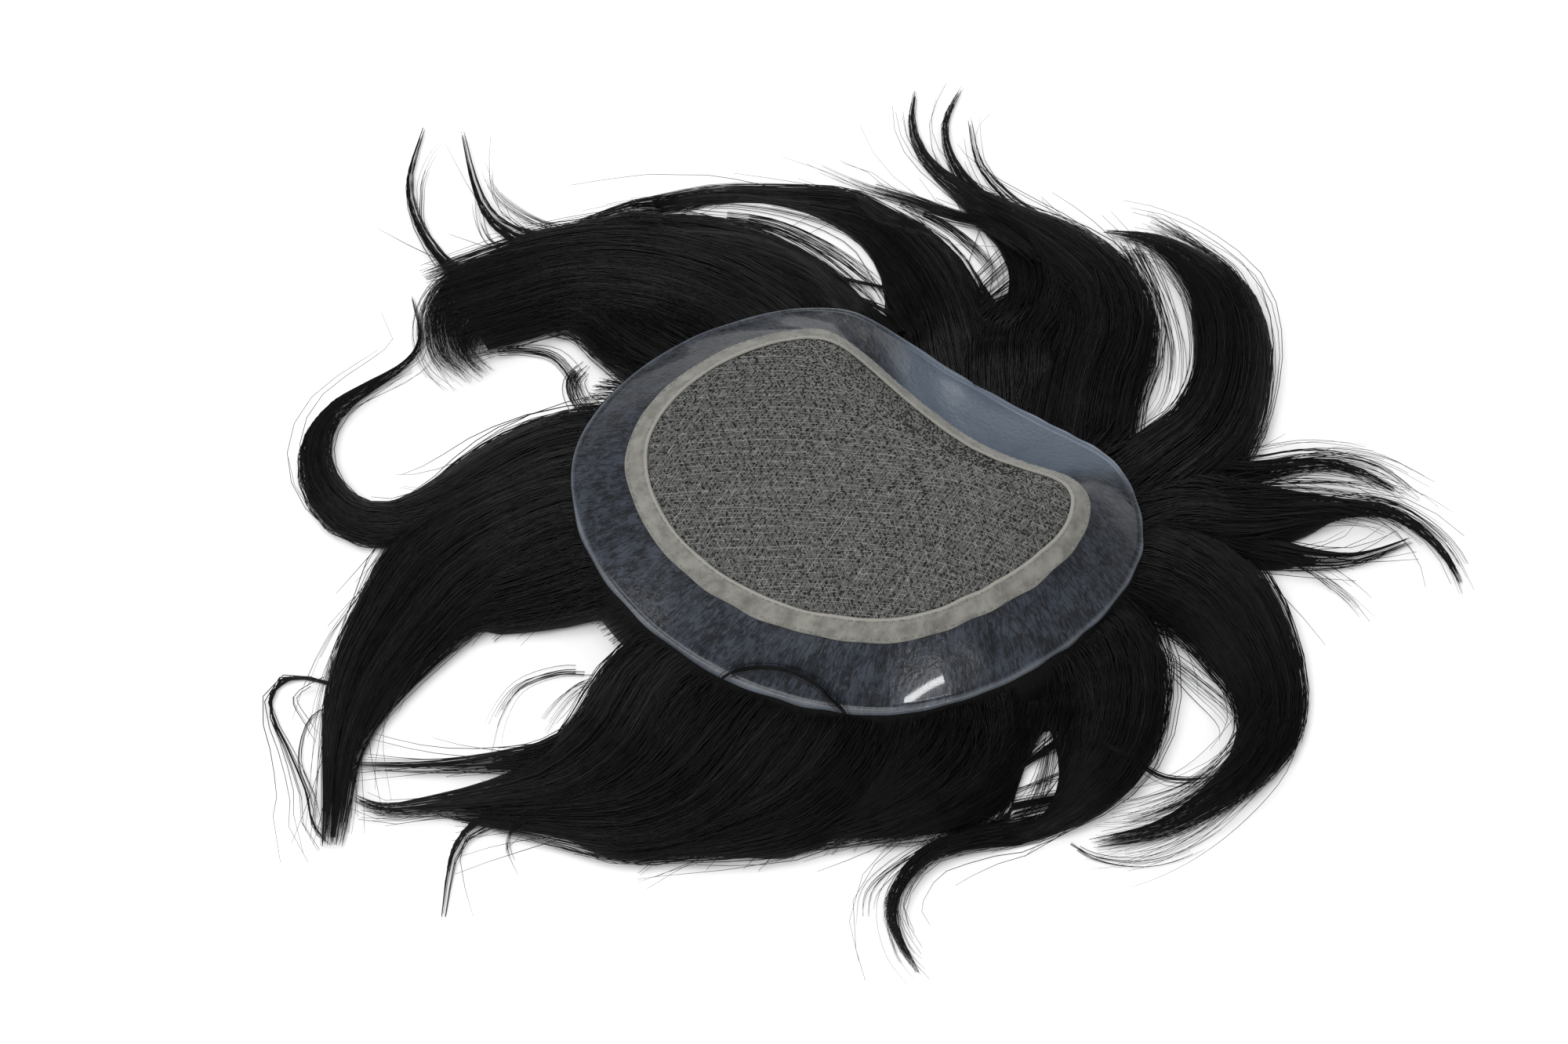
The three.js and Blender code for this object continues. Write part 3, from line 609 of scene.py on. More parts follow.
def thread_material(settings):
    """Nylon monofilament thread: grey, a little translucent, with a soft gloss."""
    finish, tree = new_material("nylon_thread")
    place = add_node(tree, "ShaderNodeTexCoord")
    mottle = add_node(tree, "ShaderNodeTexNoise", inputs={
        "Vector": place.outputs["Object"], "Scale": 500.0, "Detail": 3.0, "Roughness": 0.6,
    })
    tone = add_node(tree, "ShaderNodeValToRGB", inputs={0: mottle.outputs[0]})
    ground = settings.thread_colour
    ramp_stops(tone, [(0.35, tuple(c * 0.45 for c in ground)), (0.65, tuple(ground))])
    shader = add_node(tree, "ShaderNodeBsdfPrincipled", inputs={
        "Base Color": tone.outputs[0], "Roughness": 0.55, "Specular IOR Level": 0.4,
    })
    finish_material(tree, shader)
    return finish


def knot_material():
    """Hair knotted through the lace: small black dots with a faint sheen."""
    finish, tree = new_material("hair_knot")
    place = add_node(tree, "ShaderNodeTexCoord")
    mottle = add_node(tree, "ShaderNodeTexNoise", inputs={"Vector": place.outputs["Object"], "Scale": 300.0})
    tone = add_node(tree, "ShaderNodeValToRGB", inputs={0: mottle.outputs[0]})
    ramp_stops(tone, [(0.4, colour("#0c0c0d")), (0.6, colour("#2a2928"))])
    shader = add_node(tree, "ShaderNodeBsdfPrincipled",
                      inputs={"Base Color": tone.outputs[0], "Roughness": 0.6, "Specular IOR Level": 0.3})
    finish_material(tree, shader)
    return finish


def skin_material(settings):
    """Clear polyurethane skin, cast thin: glossy, with the dark hair below showing as slate, faint streaks
    of hair roots that run outwards, a paler line at its edge that is partly thicker skin and partly painted highlight,
    and a paler panel in the dent that is painted reflection."""
    finish, tree = new_material("polyurethane_skin")
    place = add_node(tree, "ShaderNodeUVMap", {"uv_map": "UVMap"})
    along = add_node(tree, "ShaderNodeMapping", inputs={"Vector": place.outputs[0], "Scale": (650.0, 200.0, 1.0)})
    streaks = add_node(tree, "ShaderNodeTexNoise", inputs={
        "Vector": along.outputs[0], "Scale": 1.0, "Detail": 4.0, "Roughness": 0.7, "Distortion": 1.2,
    })
    cloud = add_node(tree, "ShaderNodeTexNoise", inputs={
        "Vector": place.outputs[0], "Scale": 110.0, "Detail": 6.0, "Roughness": 0.7,
    })
    mixed = add_node(tree, "ShaderNodeMath", {"operation": "MULTIPLY_ADD"},
                     {0: streaks.outputs[0], 1: 1.6, 2: cloud.outputs[0]})
    centred = add_node(tree, "ShaderNodeMapRange", inputs={
        "Value": mixed.outputs[0], "From Min": 0.9, "From Max": 1.7, "To Min": 0.0, "To Max": 1.0,
    })
    spread = add_node(tree, "ShaderNodeValToRGB", inputs={0: centred.outputs[0]})
    ground = settings.skin_colour
    ramp_stops(spread, [(0.3, tuple(c * 0.35 for c in ground)), (0.5, tuple(ground)),
                        (0.72, tuple(min(1, c * 2.0) for c in ground))])
    # Painted reflection: the skin in the dent is painted paler and bluer, standing in for the bright room it reflects
    # there
    thin = add_node(tree, "ShaderNodeAttribute", {"attribute_name": "dent_painted_reflection", "attribute_type": "GEOMETRY"})
    clear = add_node(tree, "ShaderNodeMix", {"data_type": "RGBA"}, {
        "Factor": thin.outputs["Fac"], "A": spread.outputs[0], "B": (*settings.dent_reflection_colour, 1.0),
    })
    split = add_node(tree, "ShaderNodeSeparateXYZ", inputs={0: place.outputs[0]})
    # Paler line along the edge: partly the thicker skin's own colour, partly a painted highlight of gloss on the
    # raised bead
    edge = add_node(tree, "ShaderNodeMapRange", {"interpolation_type": "SMOOTHSTEP"}, {
        "Value": split.outputs["Y"], "From Min": 0.0006, "From Max": 0.0026, "To Min": 1.0, "To Max": 0.0,
    })
    patchy = add_node(tree, "ShaderNodeTexNoise", inputs={"Vector": place.outputs[0], "Scale": 25.0, "Detail": 2.0})
    line = add_node(tree, "ShaderNodeMath", {"operation": "MULTIPLY"}, {0: edge.outputs[0], 1: patchy.outputs[0]})
    paint = add_node(tree, "ShaderNodeMix", {"data_type": "RGBA"}, {
        "Factor": line.outputs[0], "A": clear.outputs["Result"], "B": (*settings.edge_line_and_highlight_colour, 1.0),
    })
    rough = add_node(tree, "ShaderNodeMapRange", inputs={
        "Value": cloud.outputs[0], "From Min": 0.3, "From Max": 0.7, "To Min": 0.2, "To Max": 0.36,
    })
    ripple = add_node(tree, "ShaderNodeTexNoise", inputs={
        "Vector": place.outputs[0], "Scale": 420.0, "Detail": 3.0, "Roughness": 0.55,
    })
    bump = add_node(tree, "ShaderNodeBump", inputs={
        "Strength": 0.45, "Distance": 0.0004, "Height": ripple.outputs[0],
    })
    shader = add_node(tree, "ShaderNodeBsdfPrincipled", inputs={
        "Base Color": paint.outputs["Result"], "Roughness": rough.outputs[0], "IOR": 1.45,
        "Specular IOR Level": 0.28, "Coat Weight": 0.2, "Coat Roughness": 0.05, "Normal": bump.outputs[0],
    })
    finish_material(tree, shader)
    return finish


def tape_material(settings):
    """Cotton binding tape, woven: matt, with fine ribs across it and a paler selvedge on its inner side."""
    finish, tree = new_material("cotton_tape")
    place = add_node(tree, "ShaderNodeUVMap", {"uv_map": "UVMap"})
    ribs = add_node(tree, "ShaderNodeTexWave", {"wave_type": "BANDS", "bands_direction": "X"}, {
        "Vector": place.outputs[0], "Scale": 1 / settings.rib_pitch / 2, "Distortion": 1.5, "Detail": 2.0,
    })
    worn = add_node(tree, "ShaderNodeTexNoise", inputs={
        "Vector": place.outputs[0], "Scale": 140.0, "Detail": 5.0, "Roughness": 0.65,
    })
    mixed = add_node(tree, "ShaderNodeMath", {"operation": "MULTIPLY_ADD"},
                     {0: ribs.outputs["Fac"], 1: 0.18, 2: worn.outputs[0]})
    tone = add_node(tree, "ShaderNodeValToRGB", inputs={0: mixed.outputs[0]})
    ground = settings.tape_colour
    ramp_stops(tone, [(0.4, tuple(c * 0.5 for c in ground)), (0.72, tuple(c * 1.15 for c in ground))])
    split = add_node(tree, "ShaderNodeSeparateXYZ", inputs={0: place.outputs[0]})
    inner = add_node(tree, "ShaderNodeMapRange", {"interpolation_type": "SMOOTHSTEP"}, {
        "Value": split.outputs["Y"], "From Min": 0.0076, "From Max": 0.0084, "To Min": 0.0, "To Max": 0.8,
    })
    paint = add_node(tree, "ShaderNodeMix", {"data_type": "RGBA"}, {
        "Factor": inner.outputs[0], "A": tone.outputs[0], "B": (*settings.selvedge_colour, 1.0),
    })
    bump = add_node(tree, "ShaderNodeBump", inputs={
        "Strength": 0.7, "Distance": 0.0003, "Height": mixed.outputs[0],
    })
    shader = add_node(tree, "ShaderNodeBsdfPrincipled", inputs={
        "Base Color": paint.outputs["Result"], "Roughness": 0.85, "Specular IOR Level": 0.25,
        "Sheen Weight": 0.2, "Normal": bump.outputs[0],
    })
    finish_material(tree, shader)
    return finish


def hair_material(settings):
    """Human hair dyed black: each strand its own shade, the palest of them partly painted sheen streaks, with a soft
    sheen from its gloss along it.
    """
    finish, tree = new_material("black_hair")
    shade = add_node(tree, "ShaderNodeAttribute", {"attribute_name": "tint", "attribute_type": "GEOMETRY"})
    place = add_node(tree, "ShaderNodeTexCoord")
    uneven = add_node(tree, "ShaderNodeTexNoise", inputs={
        "Vector": place.outputs["Object"], "Scale": 90.0, "Detail": 3.0,
    })
    mixed = add_node(tree, "ShaderNodeMath", {"operation": "MULTIPLY_ADD"},
                     {0: uneven.outputs[0], 1: 0.3, 2: shade.outputs["Fac"]})
    # Strands differ in shade at random; the palest stop is partly painted sheen streaks
    tone = add_node(tree, "ShaderNodeValToRGB", inputs={0: mixed.outputs[0]})
    ramp_stops(tone, [(0.2, tuple(settings.hair_colour)), (0.95, tuple(c * 2.4 for c in settings.hair_colour)),
                      (1.0, tuple(settings.streak_and_sheen_colour))])
    shader = add_node(tree, "ShaderNodeBsdfPrincipled", inputs={
        "Base Color": tone.outputs[0], "Roughness": 0.4, "Specular IOR Level": 0.14, "IOR": 1.55,
    })
    finish_material(tree, shader)
    return finish


def under_hair_material(settings):
    """Hair packed close in the body of a lock: black, in fine ridges along it."""
    finish, tree = new_material("packed_hair")
    place = add_node(tree, "ShaderNodeUVMap", {"uv_map": "UVMap"})
    along = add_node(tree, "ShaderNodeMapping", inputs={"Vector": place.outputs[0], "Scale": (1400.0, 25.0, 1.0)})
    ridges = add_node(tree, "ShaderNodeTexNoise", inputs={
        "Vector": along.outputs[0], "Scale": 1.0, "Detail": 4.0, "Roughness": 0.6,
    })
    tone = add_node(tree, "ShaderNodeValToRGB", inputs={0: ridges.outputs[0]})
    ramp_stops(tone, [(0.35, tuple(c * 0.5 for c in settings.hair_colour)),
                      (0.75, tuple(c * 2 for c in settings.hair_colour))])
    bump = add_node(tree, "ShaderNodeBump", inputs={
        "Strength": 0.9, "Distance": 0.0006, "Height": ridges.outputs[0],
    })
    shader = add_node(tree, "ShaderNodeBsdfPrincipled", inputs={
        "Base Color": tone.outputs[0], "Roughness": 0.6, "Specular IOR Level": 0.15, "Normal": bump.outputs[0],
    })
    finish_material(tree, shader)
    return finish


# Hair

def smooth_route(stations, per_span):
    """Points on a smooth curve through the stations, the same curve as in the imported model."""
    held = np.vstack([2 * stations[0] - stations[1], stations, 2 * stations[-1] - stations[-2]])
    found = []
    for a, b, c, d in zip(held, held[1:], held[2:], held[3:]):
        before, span, after = (math.sqrt(np.linalg.norm(q - p)) for p, q in ((a, b), (b, c), (c, d)))
        leave = ((b - a) / before - (c - a) / (before + span) + (c - b) / span) * span
        reach = ((c - b) / span - (d - b) / (span + after) + (d - c) / after) * span
        t = (np.arange(per_span) / per_span)[:, None]
        found.append(b + leave * t + (3 * (c - b) - 2 * leave - reach) * t ** 2
                     + (2 * (b - c) + leave + reach) * t ** 3)
    return np.vstack([*found, stations[-1:]])


EDGE_BEARINGS = np.linspace(0, 2 * np.pi, 721)
EDGE_POINTS = base_point(1.0, EDGE_BEARINGS)
EDGE_ANGLES = np.unwrap(np.arctan2(EDGE_POINTS[:, 1] - BASE_PLACE[1], EDGE_POINTS[:, 0] - BASE_PLACE[0]))
EDGE_REACHES = np.hypot(EDGE_POINTS[:, 0] - BASE_PLACE[0], EDGE_POINTS[:, 1] - BASE_PLACE[1])


def past_edge(plan):
    """How far points lie outside the edge of the base, and how high the edge is beside them."""
    away = plan - BASE_PLACE[:2]
    angle = (np.arctan2(away[..., 1], away[..., 0]) - EDGE_ANGLES[0]) % (2 * np.pi) + EDGE_ANGLES[0]
    reach = np.interp(angle, EDGE_ANGLES, EDGE_REACHES)
    height = np.interp(angle, EDGE_ANGLES, EDGE_POINTS[:, 2])
    return np.hypot(away[..., 0], away[..., 1]) - reach, height


def smoothstep(value, start, end):
    t = np.clip((value - start) / (end - start), 0, 1)
    return t * t * (3 - 2 * t)


def lock_route(name):
    """Places, widths, heights and leftward directions along a lock, from under the edge of the base."""
    root, stations = LOCKS[name]
    points = np.array(stations) * [*HALF_SPREAD, LOCK_WIDTH] + [*SPREAD_MIDDLE, 0]
    if root is not None:
        start = base_point(ROOT_SHARE, math.radians(root))
        points = np.vstack([[start[0], start[1], points[0, 2]], points])
    route = smooth_route(points, 12)
    plan, width = route[:, :2], np.maximum(route[:, 2], 0.8)
    outside, edge_height = past_edge(plan)
    if root is not None:
        first = int(np.argmax(outside > -9))
        plan, width, outside, edge_height = (part[first:] for part in (plan, width, outside, edge_height))
    heading = np.gradient(plan, axis=0)
    heading /= np.linalg.norm(heading, axis=1, keepdims=True)
    left = np.stack([-heading[:, 1], heading[:, 0]], -1)
    depth = LOCK_DEPTH * np.sqrt(width / LOCK_WIDTH)
    return {"plan": plan, "width": width, "depth": depth, "left": left, "rooted": root is not None}


ROUTES = {name: lock_route(name) for name in LOCKS}


def height_under_rim(plan, depth):
    """Height of the top of the hair: it leaves from under the edge of the base and settles to its depth."""
    outside, edge_height = past_edge(plan)
    from_edge = edge_height - WALL - 1.2
    settle_over = np.where(from_edge > depth, 46.0, 16.0)
    share = smoothstep(outside, -2, settle_over)
    return from_edge * (1 - share) + depth * share


def section_height(side):
    """Height of a lock's rounded top over its width, side going from -1 to 1."""
    return 0.24 + 0.76 * np.clip(1 - side ** 2, 0, 1) ** 0.45


def parting_route(half_width, stations):
    """Half width, points, headings and room on either side along a parting, widest near its last end."""
    route = smooth_route(np.array(stations) * HALF_SPREAD + SPREAD_MIDDLE, 6)
    heading = np.gradient(route, axis=0)
    heading /= np.linalg.norm(heading, axis=1, keepdims=True)
    share = np.linspace(0.01, 0.99, len(route)) ** PARTING_SKEW
    return half_width, route, heading, half_width * np.sqrt(np.sin(np.pi * share))


PARTING_ROUTES = [parting_route(*parting) for parting in PARTINGS]


def beside_partings(plan):
    """Share by which hair lies lower beside a parting, 1 where it is well away from it."""
    low = np.ones(len(plan))
    for half_width, route, _, _ in PARTING_ROUTES:
        apart = np.linalg.norm(plan[:, None] - route, axis=-1).min(1)
        low = np.minimum(low, 0.3 + 0.7 * smoothstep(apart, half_width, 2.4 * half_width))
    return low


def parted(plan):
    """Plan points moved out of the partings, to whichever side they are nearer."""
    plan = np.array(plan, float)
    for _, route, heading, room in PARTING_ROUTES:
        away = plan[:, None] - route
        nearest = np.linalg.norm(away, axis=-1).argmin(1)
        away = away[np.arange(len(plan)), nearest]
        ahead = heading[nearest]
        side = ahead[:, 0] * away[:, 1] - ahead[:, 1] * away[:, 0]
        along = (away * ahead).sum(1)
        short = np.clip(room[nearest] - np.abs(side), 0, None) * (np.abs(along) < 6)
        left = np.stack([-ahead[:, 1], ahead[:, 0]], -1)
        plan += left * (np.where(side < 0, -1, 1) * short)[:, None]
    return plan


def kept_to_one_side(row, middle):
    """A ring's points kept on its middle's side of a parting, where little of the ring reaches past it."""
    for _, route, heading, room in PARTING_ROUTES:
        away = np.vstack([row, middle])[:, None] - route
        nearest = np.linalg.norm(away, axis=-1).argmin(1)
        away = away[np.arange(len(away)), nearest]
        ahead = heading[nearest]
        side = ahead[:, 0] * away[:, 1] - ahead[:, 1] * away[:, 0]
        own = -1 if side[-1] < 0 else 1
        beside = np.abs((away * ahead).sum(1)) < 6
        past = np.where(beside, room[nearest] - own * side, 0)[:-1]
        if past.max() < 2 * room[nearest].max() + ROOM_PAST_PARTING:
            left = np.stack([-ahead[:-1, 1], ahead[:-1, 0]], -1)
            row = row + left * (own * np.clip(past, 0, None))[:, None]
    return row


def lock_body(name):
    """Packed hair inside a lock, as a loft that narrows to a rounded end where the lock turns into a wisp."""
    route = ROUTES[name]
    keep = np.flatnonzero(route["width"] > 9.0)
    if len(keep) < 6:
        return None
    blunt = float(smoothstep(route["width"][keep[-1]] / LOCK_WIDTH, 0.3, 1.0))
    span = slice(keep[0], keep[-1] + 1 - round(6 * blunt), 2)
    plan, left = route["plan"][span], route["left"][span]
    part = np.linspace(0, 1, len(plan))
    slim = 1 - 0.75 * (1 - blunt) * smoothstep(part, 0.62, 1.0)
    if not route["rooted"]:
        slim = slim * (0.3 + 0.7 * smoothstep(part, 0, 0.3))
    width = route["width"][span] * 0.9 * slim
    depth = height_under_rim(plan, route["depth"][span]) * 0.78 * np.sqrt(slim)
    turn = np.linspace(0, np.pi, 15)
    sides = np.concatenate([np.cos(turn), [-0.8, 0.0, 0.8]])
    ups = np.concatenate([section_height(np.cos(turn)), [0.0, 0.0, 0.0]])
    spots = plan[:, None] + left[:, None] * (sides * width[:, None] / 2)[..., None]
    spots = np.array([kept_to_one_side(row, middle) for row, middle in zip(spots, plan)])
    spots = parted(spots.reshape(-1, 2)).reshape(spots.shape)
    low = beside_partings(spots.reshape(-1, 2)).reshape(spots.shape[:2])
    rings = np.concatenate([spots, (ups * depth[:, None] * low)[..., None] + 0.2], -1)[:, ::-1]
    along = np.cumsum([0, *np.linalg.norm(np.diff(plan, axis=0), axis=1)])
    across = np.linspace(0, 1, rings.shape[1] + 1)
    uv = np.stack([across * width.max() * 2.5 + 0 * along[:, None], along[:, None] + 0 * across], -1)
    middles = rings.mean(1)
    forward = (middles[-1] - middles[-2]) / max(np.linalg.norm(middles[-1] - middles[-2]), 1e-6)
    return loft(rings, uv, (middles[0], middles[-1] + forward * width[-1] * (0.35 - 0.25 * blunt)))


def lock_strands(name, count, rng, settings):
    """Paths, thicknesses and tints of the strands on a lock, gathered in clumps that taper to its tip."""
    route = ROUTES[name]
    plan, width, depth, left = (route[key] for key in ("plan", "width", "depth", "left"))
    size = width ** 0.85
    thickest = int(np.argmax(size))
    alive = np.ones(len(size))
    alive[thickest:] = np.minimum.accumulate(size[thickest:] / size[thickest])
    alive = np.maximum(alive, min(1, 24 / count))
    top = height_under_rim(plan, depth)
    travelled = np.cumsum([0, *np.linalg.norm(np.diff(plan, axis=0), axis=1)])
    clumps = max(2, count // 11)
    clump_side = rng.uniform(-1, 1, clumps)
    clump_wave = rng.uniform(0, 2 * np.pi, clumps)
    paths, radii, tints = [], [], []
    for _ in range(count):
        clump = rng.integers(clumps)
        rank = rng.random() * 0.995
        last = int(np.flatnonzero(alive >= rank)[-1])
        end = min(travelled[-1] * rng.uniform(0.93, 1), travelled[last] + rng.uniform(0, 22))
        start = 0.0 if route["rooted"] or rng.random() < 0.6 else rng.uniform(0, 0.3) * end
        if end - start < 18:
            start = max(0.0, end - 18)
        points = max(5, int((end - start) / settings.point_step * MM) + 1)
        at = np.linspace(start, end, points)
        part = (at - start) / max(end - start, 1e-6)
        own = rng.normal() * 0.16
        side = clump_side[clump] * 0.94 + own * (1 - 0.6 * part)
        side = side + 0.07 * np.sin(part * rng.uniform(2, 6) + clump_wave[clump])
        stray = rng.random() < settings.stray_share
        half = np.interp(at, travelled, width) / 2
        shift = side * half
        if stray:
            shift = shift + rng.normal() * 8 * part ** 2
        x, y = (np.interp(at, travelled, plan[:, axis]) + np.interp(at, travelled, left[:, axis]) * shift
                for axis in (0, 1))
        lift = section_height(np.clip(side, -0.98, 0.98)) * (1 - 0.2 * rng.random() ** 2)
        z = np.interp(at, travelled, top) * lift + (rng.uniform(0, 2.5) * part * (1 - part) if stray else 0)
        plan_path = np.stack([x, y], -1)
        if rng.random() > settings.crossing_share:
            plan_path = parted(plan_path)
        z = z * beside_partings(plan_path)
        paths.append(np.column_stack([plan_path, np.maximum(z, 0.25)]))
        taper = 1 - 0.65 * part ** 2
        radii.append(taper * rng.uniform(0.75, 1.25))
        tints.append(rng.beta(1.2, 2.4))
    return paths, radii, tints


def hair_field(plan):
    """Direction of the nearest locks, height of the hair and how well it is covered, at plan points."""
    centres = np.concatenate([route["plan"][::3] for route in ROUTES.values()])
    headings = np.concatenate([np.stack([route["left"][::3, 1], -route["left"][::3, 0]], -1)
                               for route in ROUTES.values()])
    widths = np.concatenate([route["width"][::3] for route in ROUTES.values()])
    depths = np.concatenate([route["depth"][::3] for route in ROUTES.values()])
    apart = np.linalg.norm(plan[:, None] - centres, axis=-1) / (widths / 2)
    weight = np.exp(-apart ** 2) * widths
    heading = (weight[..., None] * headings).sum(1)
    heading /= np.linalg.norm(heading, axis=1, keepdims=True) + 1e-9
    height = (depths * np.sqrt(np.clip(1 - apart ** 2, 0, 1))).max(1)
    return heading, height, apart.min(1)


def fall_strands(count, rng, settings):
    """Strands that leave from under the edge of the base all round and join the locks."""
    bearing = rng.uniform(0, 2 * np.pi, count)
    under = base_point(0.93, bearing)
    edge = base_point(1.0, bearing)
    outwards = edge[:, :2] - under[:, :2]
    outwards /= np.linalg.norm(outwards, axis=1, keepdims=True)
    plan = edge[:, :2] - outwards * 5
    steps = 9
    lengths = rng.uniform(4, steps, count)
    drift = rng.normal(size=count) * 0.12
    rows = [np.column_stack([plan, edge[:, 2] - WALL - 1.6])]
    alive = np.ones(count, bool)
    ends = np.full(count, 1)
    sunk = rng.uniform(0.72, 1.0, count)
    for step in range(steps):
        heading, height, apart = hair_field(plan)
        lead = math.exp(-step / 1.4)
        heading = heading * (1 - lead) + outwards * lead
        heading = heading + drift[:, None] * np.stack([-heading[:, 1], heading[:, 0]], -1)
        plan = parted(plan + heading / np.linalg.norm(heading, axis=1, keepdims=True) * 8.5)
        _, height, apart = hair_field(plan)
        top = height_under_rim(plan, np.maximum(height, 1.0)) * sunk * beside_partings(plan)
        rows.append(np.column_stack([plan, np.maximum(top, 0.3)]))
        alive &= (apart < 1.02) & (step < lengths)
        ends[alive] = step + 2
    rows = np.stack(rows, 1)
    paths = [rows[i, :max(ends[i], 3)] for i in range(count)]
    radii = [(1 - 0.6 * np.linspace(0, 1, len(path)) ** 2) * rng.uniform(0.75, 1.2) for path in paths]
    return paths, radii, list(rng.beta(1.2, 2.4, count))


def route_hairs(points, count, spread, rng):
    """Loose hairs side by side along a route of 3-D points."""
    curve = smooth_route(points, 4)
    heading = np.gradient(curve[:, :2], axis=0)
    heading /= np.linalg.norm(heading, axis=1, keepdims=True) + 1e-9
    left = np.stack([-heading[:, 1], heading[:, 0]], -1)
    along = np.linspace(0, 1, len(curve))
    paths, radii, tints = [], [], []
    for _ in range(count):
        first = round(len(curve) * rng.uniform(0, 0.15))
        last = round(len(curve) * rng.uniform(0.68, 1))
        bow = np.sin(along * rng.uniform(2, 6) + rng.uniform(0, 6)) * spread / 7
        shift = rng.normal() * spread / 2 * (0.4 + 0.6 * along) + bow
        plan = curve[:, :2] + left * shift[:, None]
        height = np.maximum(curve[:, 2] + rng.uniform(0, 1.2), 0.3)
        paths.append(np.column_stack([plan, height])[first:last])
        radii.append((1 - 0.65 * np.linspace(0, 1, last - first) ** 2) * rng.uniform(0.5, 0.95))
        tints.append(rng.beta(1.2, 2.4))
    return paths, radii, tints


def stray_hairs(rng):
    """The loose hairs of the table, which lie low between the locks."""
    paths, radii, tints = [], [], []
    for count, spread, stations in STRAY_HAIRS:
        plan = np.array(stations) * HALF_SPREAD + SPREAD_MIDDLE
        height = np.maximum(hair_field(plan)[1], 0.3) + 0.4
        outside, edge_height = past_edge(plan)
        height = np.where(outside < 6, np.minimum(height, edge_height - 4), height)
        for found, own in zip((paths, radii, tints), route_hairs(np.column_stack([plan, height]), count, spread, rng)):
            found += own
    return paths, radii, tints


def curled_hairs(rng):
    """The hair of the table that curls round the far left lock's end."""
    paths, radii, tints = [], [], []
    for count, spread, height, stations in CURLS:
        plan = np.array(stations) * HALF_SPREAD + SPREAD_MIDDLE
        for _ in range(count):
            level = height * rng.uniform(0.35, 1) * (1 - 0.55 * np.linspace(0, 1, len(plan)) ** 2)
            found, thick, tint = route_hairs(np.column_stack([plan, level]), 1, spread, rng)
            paths.append(np.column_stack([parted(found[0][:, :2]), found[0][:, 2]]))
            radii += thick
            tints += tint
    return paths, radii, tints


def bed_body():
    """Packed hair under the base, wider than it and cut by its underside."""
    bearings = np.linspace(0, 2 * np.pi, 120, endpoint=False)
    edge = base_point(1.0, bearings)
    outwards = edge[:, :2] - BASE_PLACE[:2]
    outwards /= np.linalg.norm(outwards, axis=1, keepdims=True)

    def ring(spread, height):
        return np.column_stack([edge[:, :2] + outwards * spread, height])

    rows = [base_ring(inset, bearings, np.full(120, -WALL - PIECE_GAP - 0.1)) for inset in (60, 45, 30, 15, 3, 0.6)]
    rows += [ring(BED_SPREAD * 0.6, edge[:, 2] * 0.7), ring(BED_SPREAD, edge[:, 2] * 0.4)]
    rows += [ring(BED_SPREAD * 0.95, edge[:, 2] * 0.15), ring(BED_SPREAD * 0.8, edge[:, 2] * 0.0 + 0.2)]
    rings = np.array(rows)
    along = np.array([0, 15, 30, 45, 57, 60, 70, 80, 88, 96.0])
    around = np.linspace(0, 520, 121)
    uv = np.stack(np.broadcast_arrays(around[None], along[:, None]), -1)
    crown = base_point(0.0, 0.0) - [0, 0, WALL + PIECE_GAP + 0.1]
    return loft(rings[:, :], uv, (crown, np.array([BASE_PLACE[0], BASE_PLACE[1], 0.2])))


# Settings

class HairpieceBaseSettings(bpy.types.PropertyGroup):
    """Sizes and colours of the base."""

    net_pitch: bpy.props.FloatProperty(
        name="Net pitch", description="Distance between the threads of the lace",
        default=0.0016, min=0.0008, max=0.004, unit="LENGTH", subtype="DISTANCE")
    thread_thickness: bpy.props.FloatProperty(
        name="Thread thickness", description="Thickness of the lace's threads, coarser than real to show",
        default=0.00034, min=0.0001, max=0.001, unit="LENGTH", subtype="DISTANCE")
    knot_size: bpy.props.FloatProperty(
        name="Knot size", description="Radius of a hair's knot in the lace",
        default=0.00046, min=0.0001, max=0.001, unit="LENGTH", subtype="DISTANCE")
    knot_density: bpy.props.FloatProperty(
        name="Knots per square metre", description="Number of hair knots on a square metre of lace",
        default=330000, min=1000, max=900000)
    rib_pitch: bpy.props.FloatProperty(
        name="Tape rib pitch", description="Distance between the ribs woven across the tape",
        default=0.0008, min=0.0003, max=0.003, unit="LENGTH", subtype="DISTANCE")
    stitch_pitch: bpy.props.FloatProperty(
        name="Stitch pitch", description="Distance between the stitches along the tape",
        default=0.0032, min=0.002, max=0.01, unit="LENGTH", subtype="DISTANCE")
    lace_colour: bpy.props.FloatVectorProperty(
        name="Lace colour", description="Ground of the lace between the hair roots",
        default=colour("#535452"), min=0, max=1, size=3, subtype="COLOR")
    thread_colour: bpy.props.FloatVectorProperty(
        name="Thread colour", description="Threads of the lace",
        default=colour("#828380"), min=0, max=1, size=3, subtype="COLOR")
    skin_colour: bpy.props.FloatVectorProperty(
        name="Skin colour", description="Clear skin with dark hair below it",
        default=colour("#22262d"), min=0, max=1, size=3, subtype="COLOR")
    # Painted reflection: paler colour of the skin in the dent, standing in for the bright room it reflects there
    dent_reflection_colour: bpy.props.FloatVectorProperty(
        name="Dent colour", description="Skin in the dent, with little hair below it",
        default=colour("#525c69"), min=0, max=1, size=3, subtype="COLOR")
    # Partly the thick edge's own paler colour, partly a painted highlight of gloss on the bead
    edge_line_and_highlight_colour: bpy.props.FloatVectorProperty(
        name="Skin edge colour", description="Thick line at the edge of the skin",
        default=colour("#7f868e"), min=0, max=1, size=3, subtype="COLOR")
    tape_colour: bpy.props.FloatVectorProperty(
        name="Tape colour", description="Binding tape over the seam of lace and skin",
        default=colour("#787771"), min=0, max=1, size=3, subtype="COLOR")
    selvedge_colour: bpy.props.FloatVectorProperty(
        name="Selvedge colour", description="Paler line along the tape's inner side",
        default=colour("#8f8d86"), min=0, max=1, size=3, subtype="COLOR")


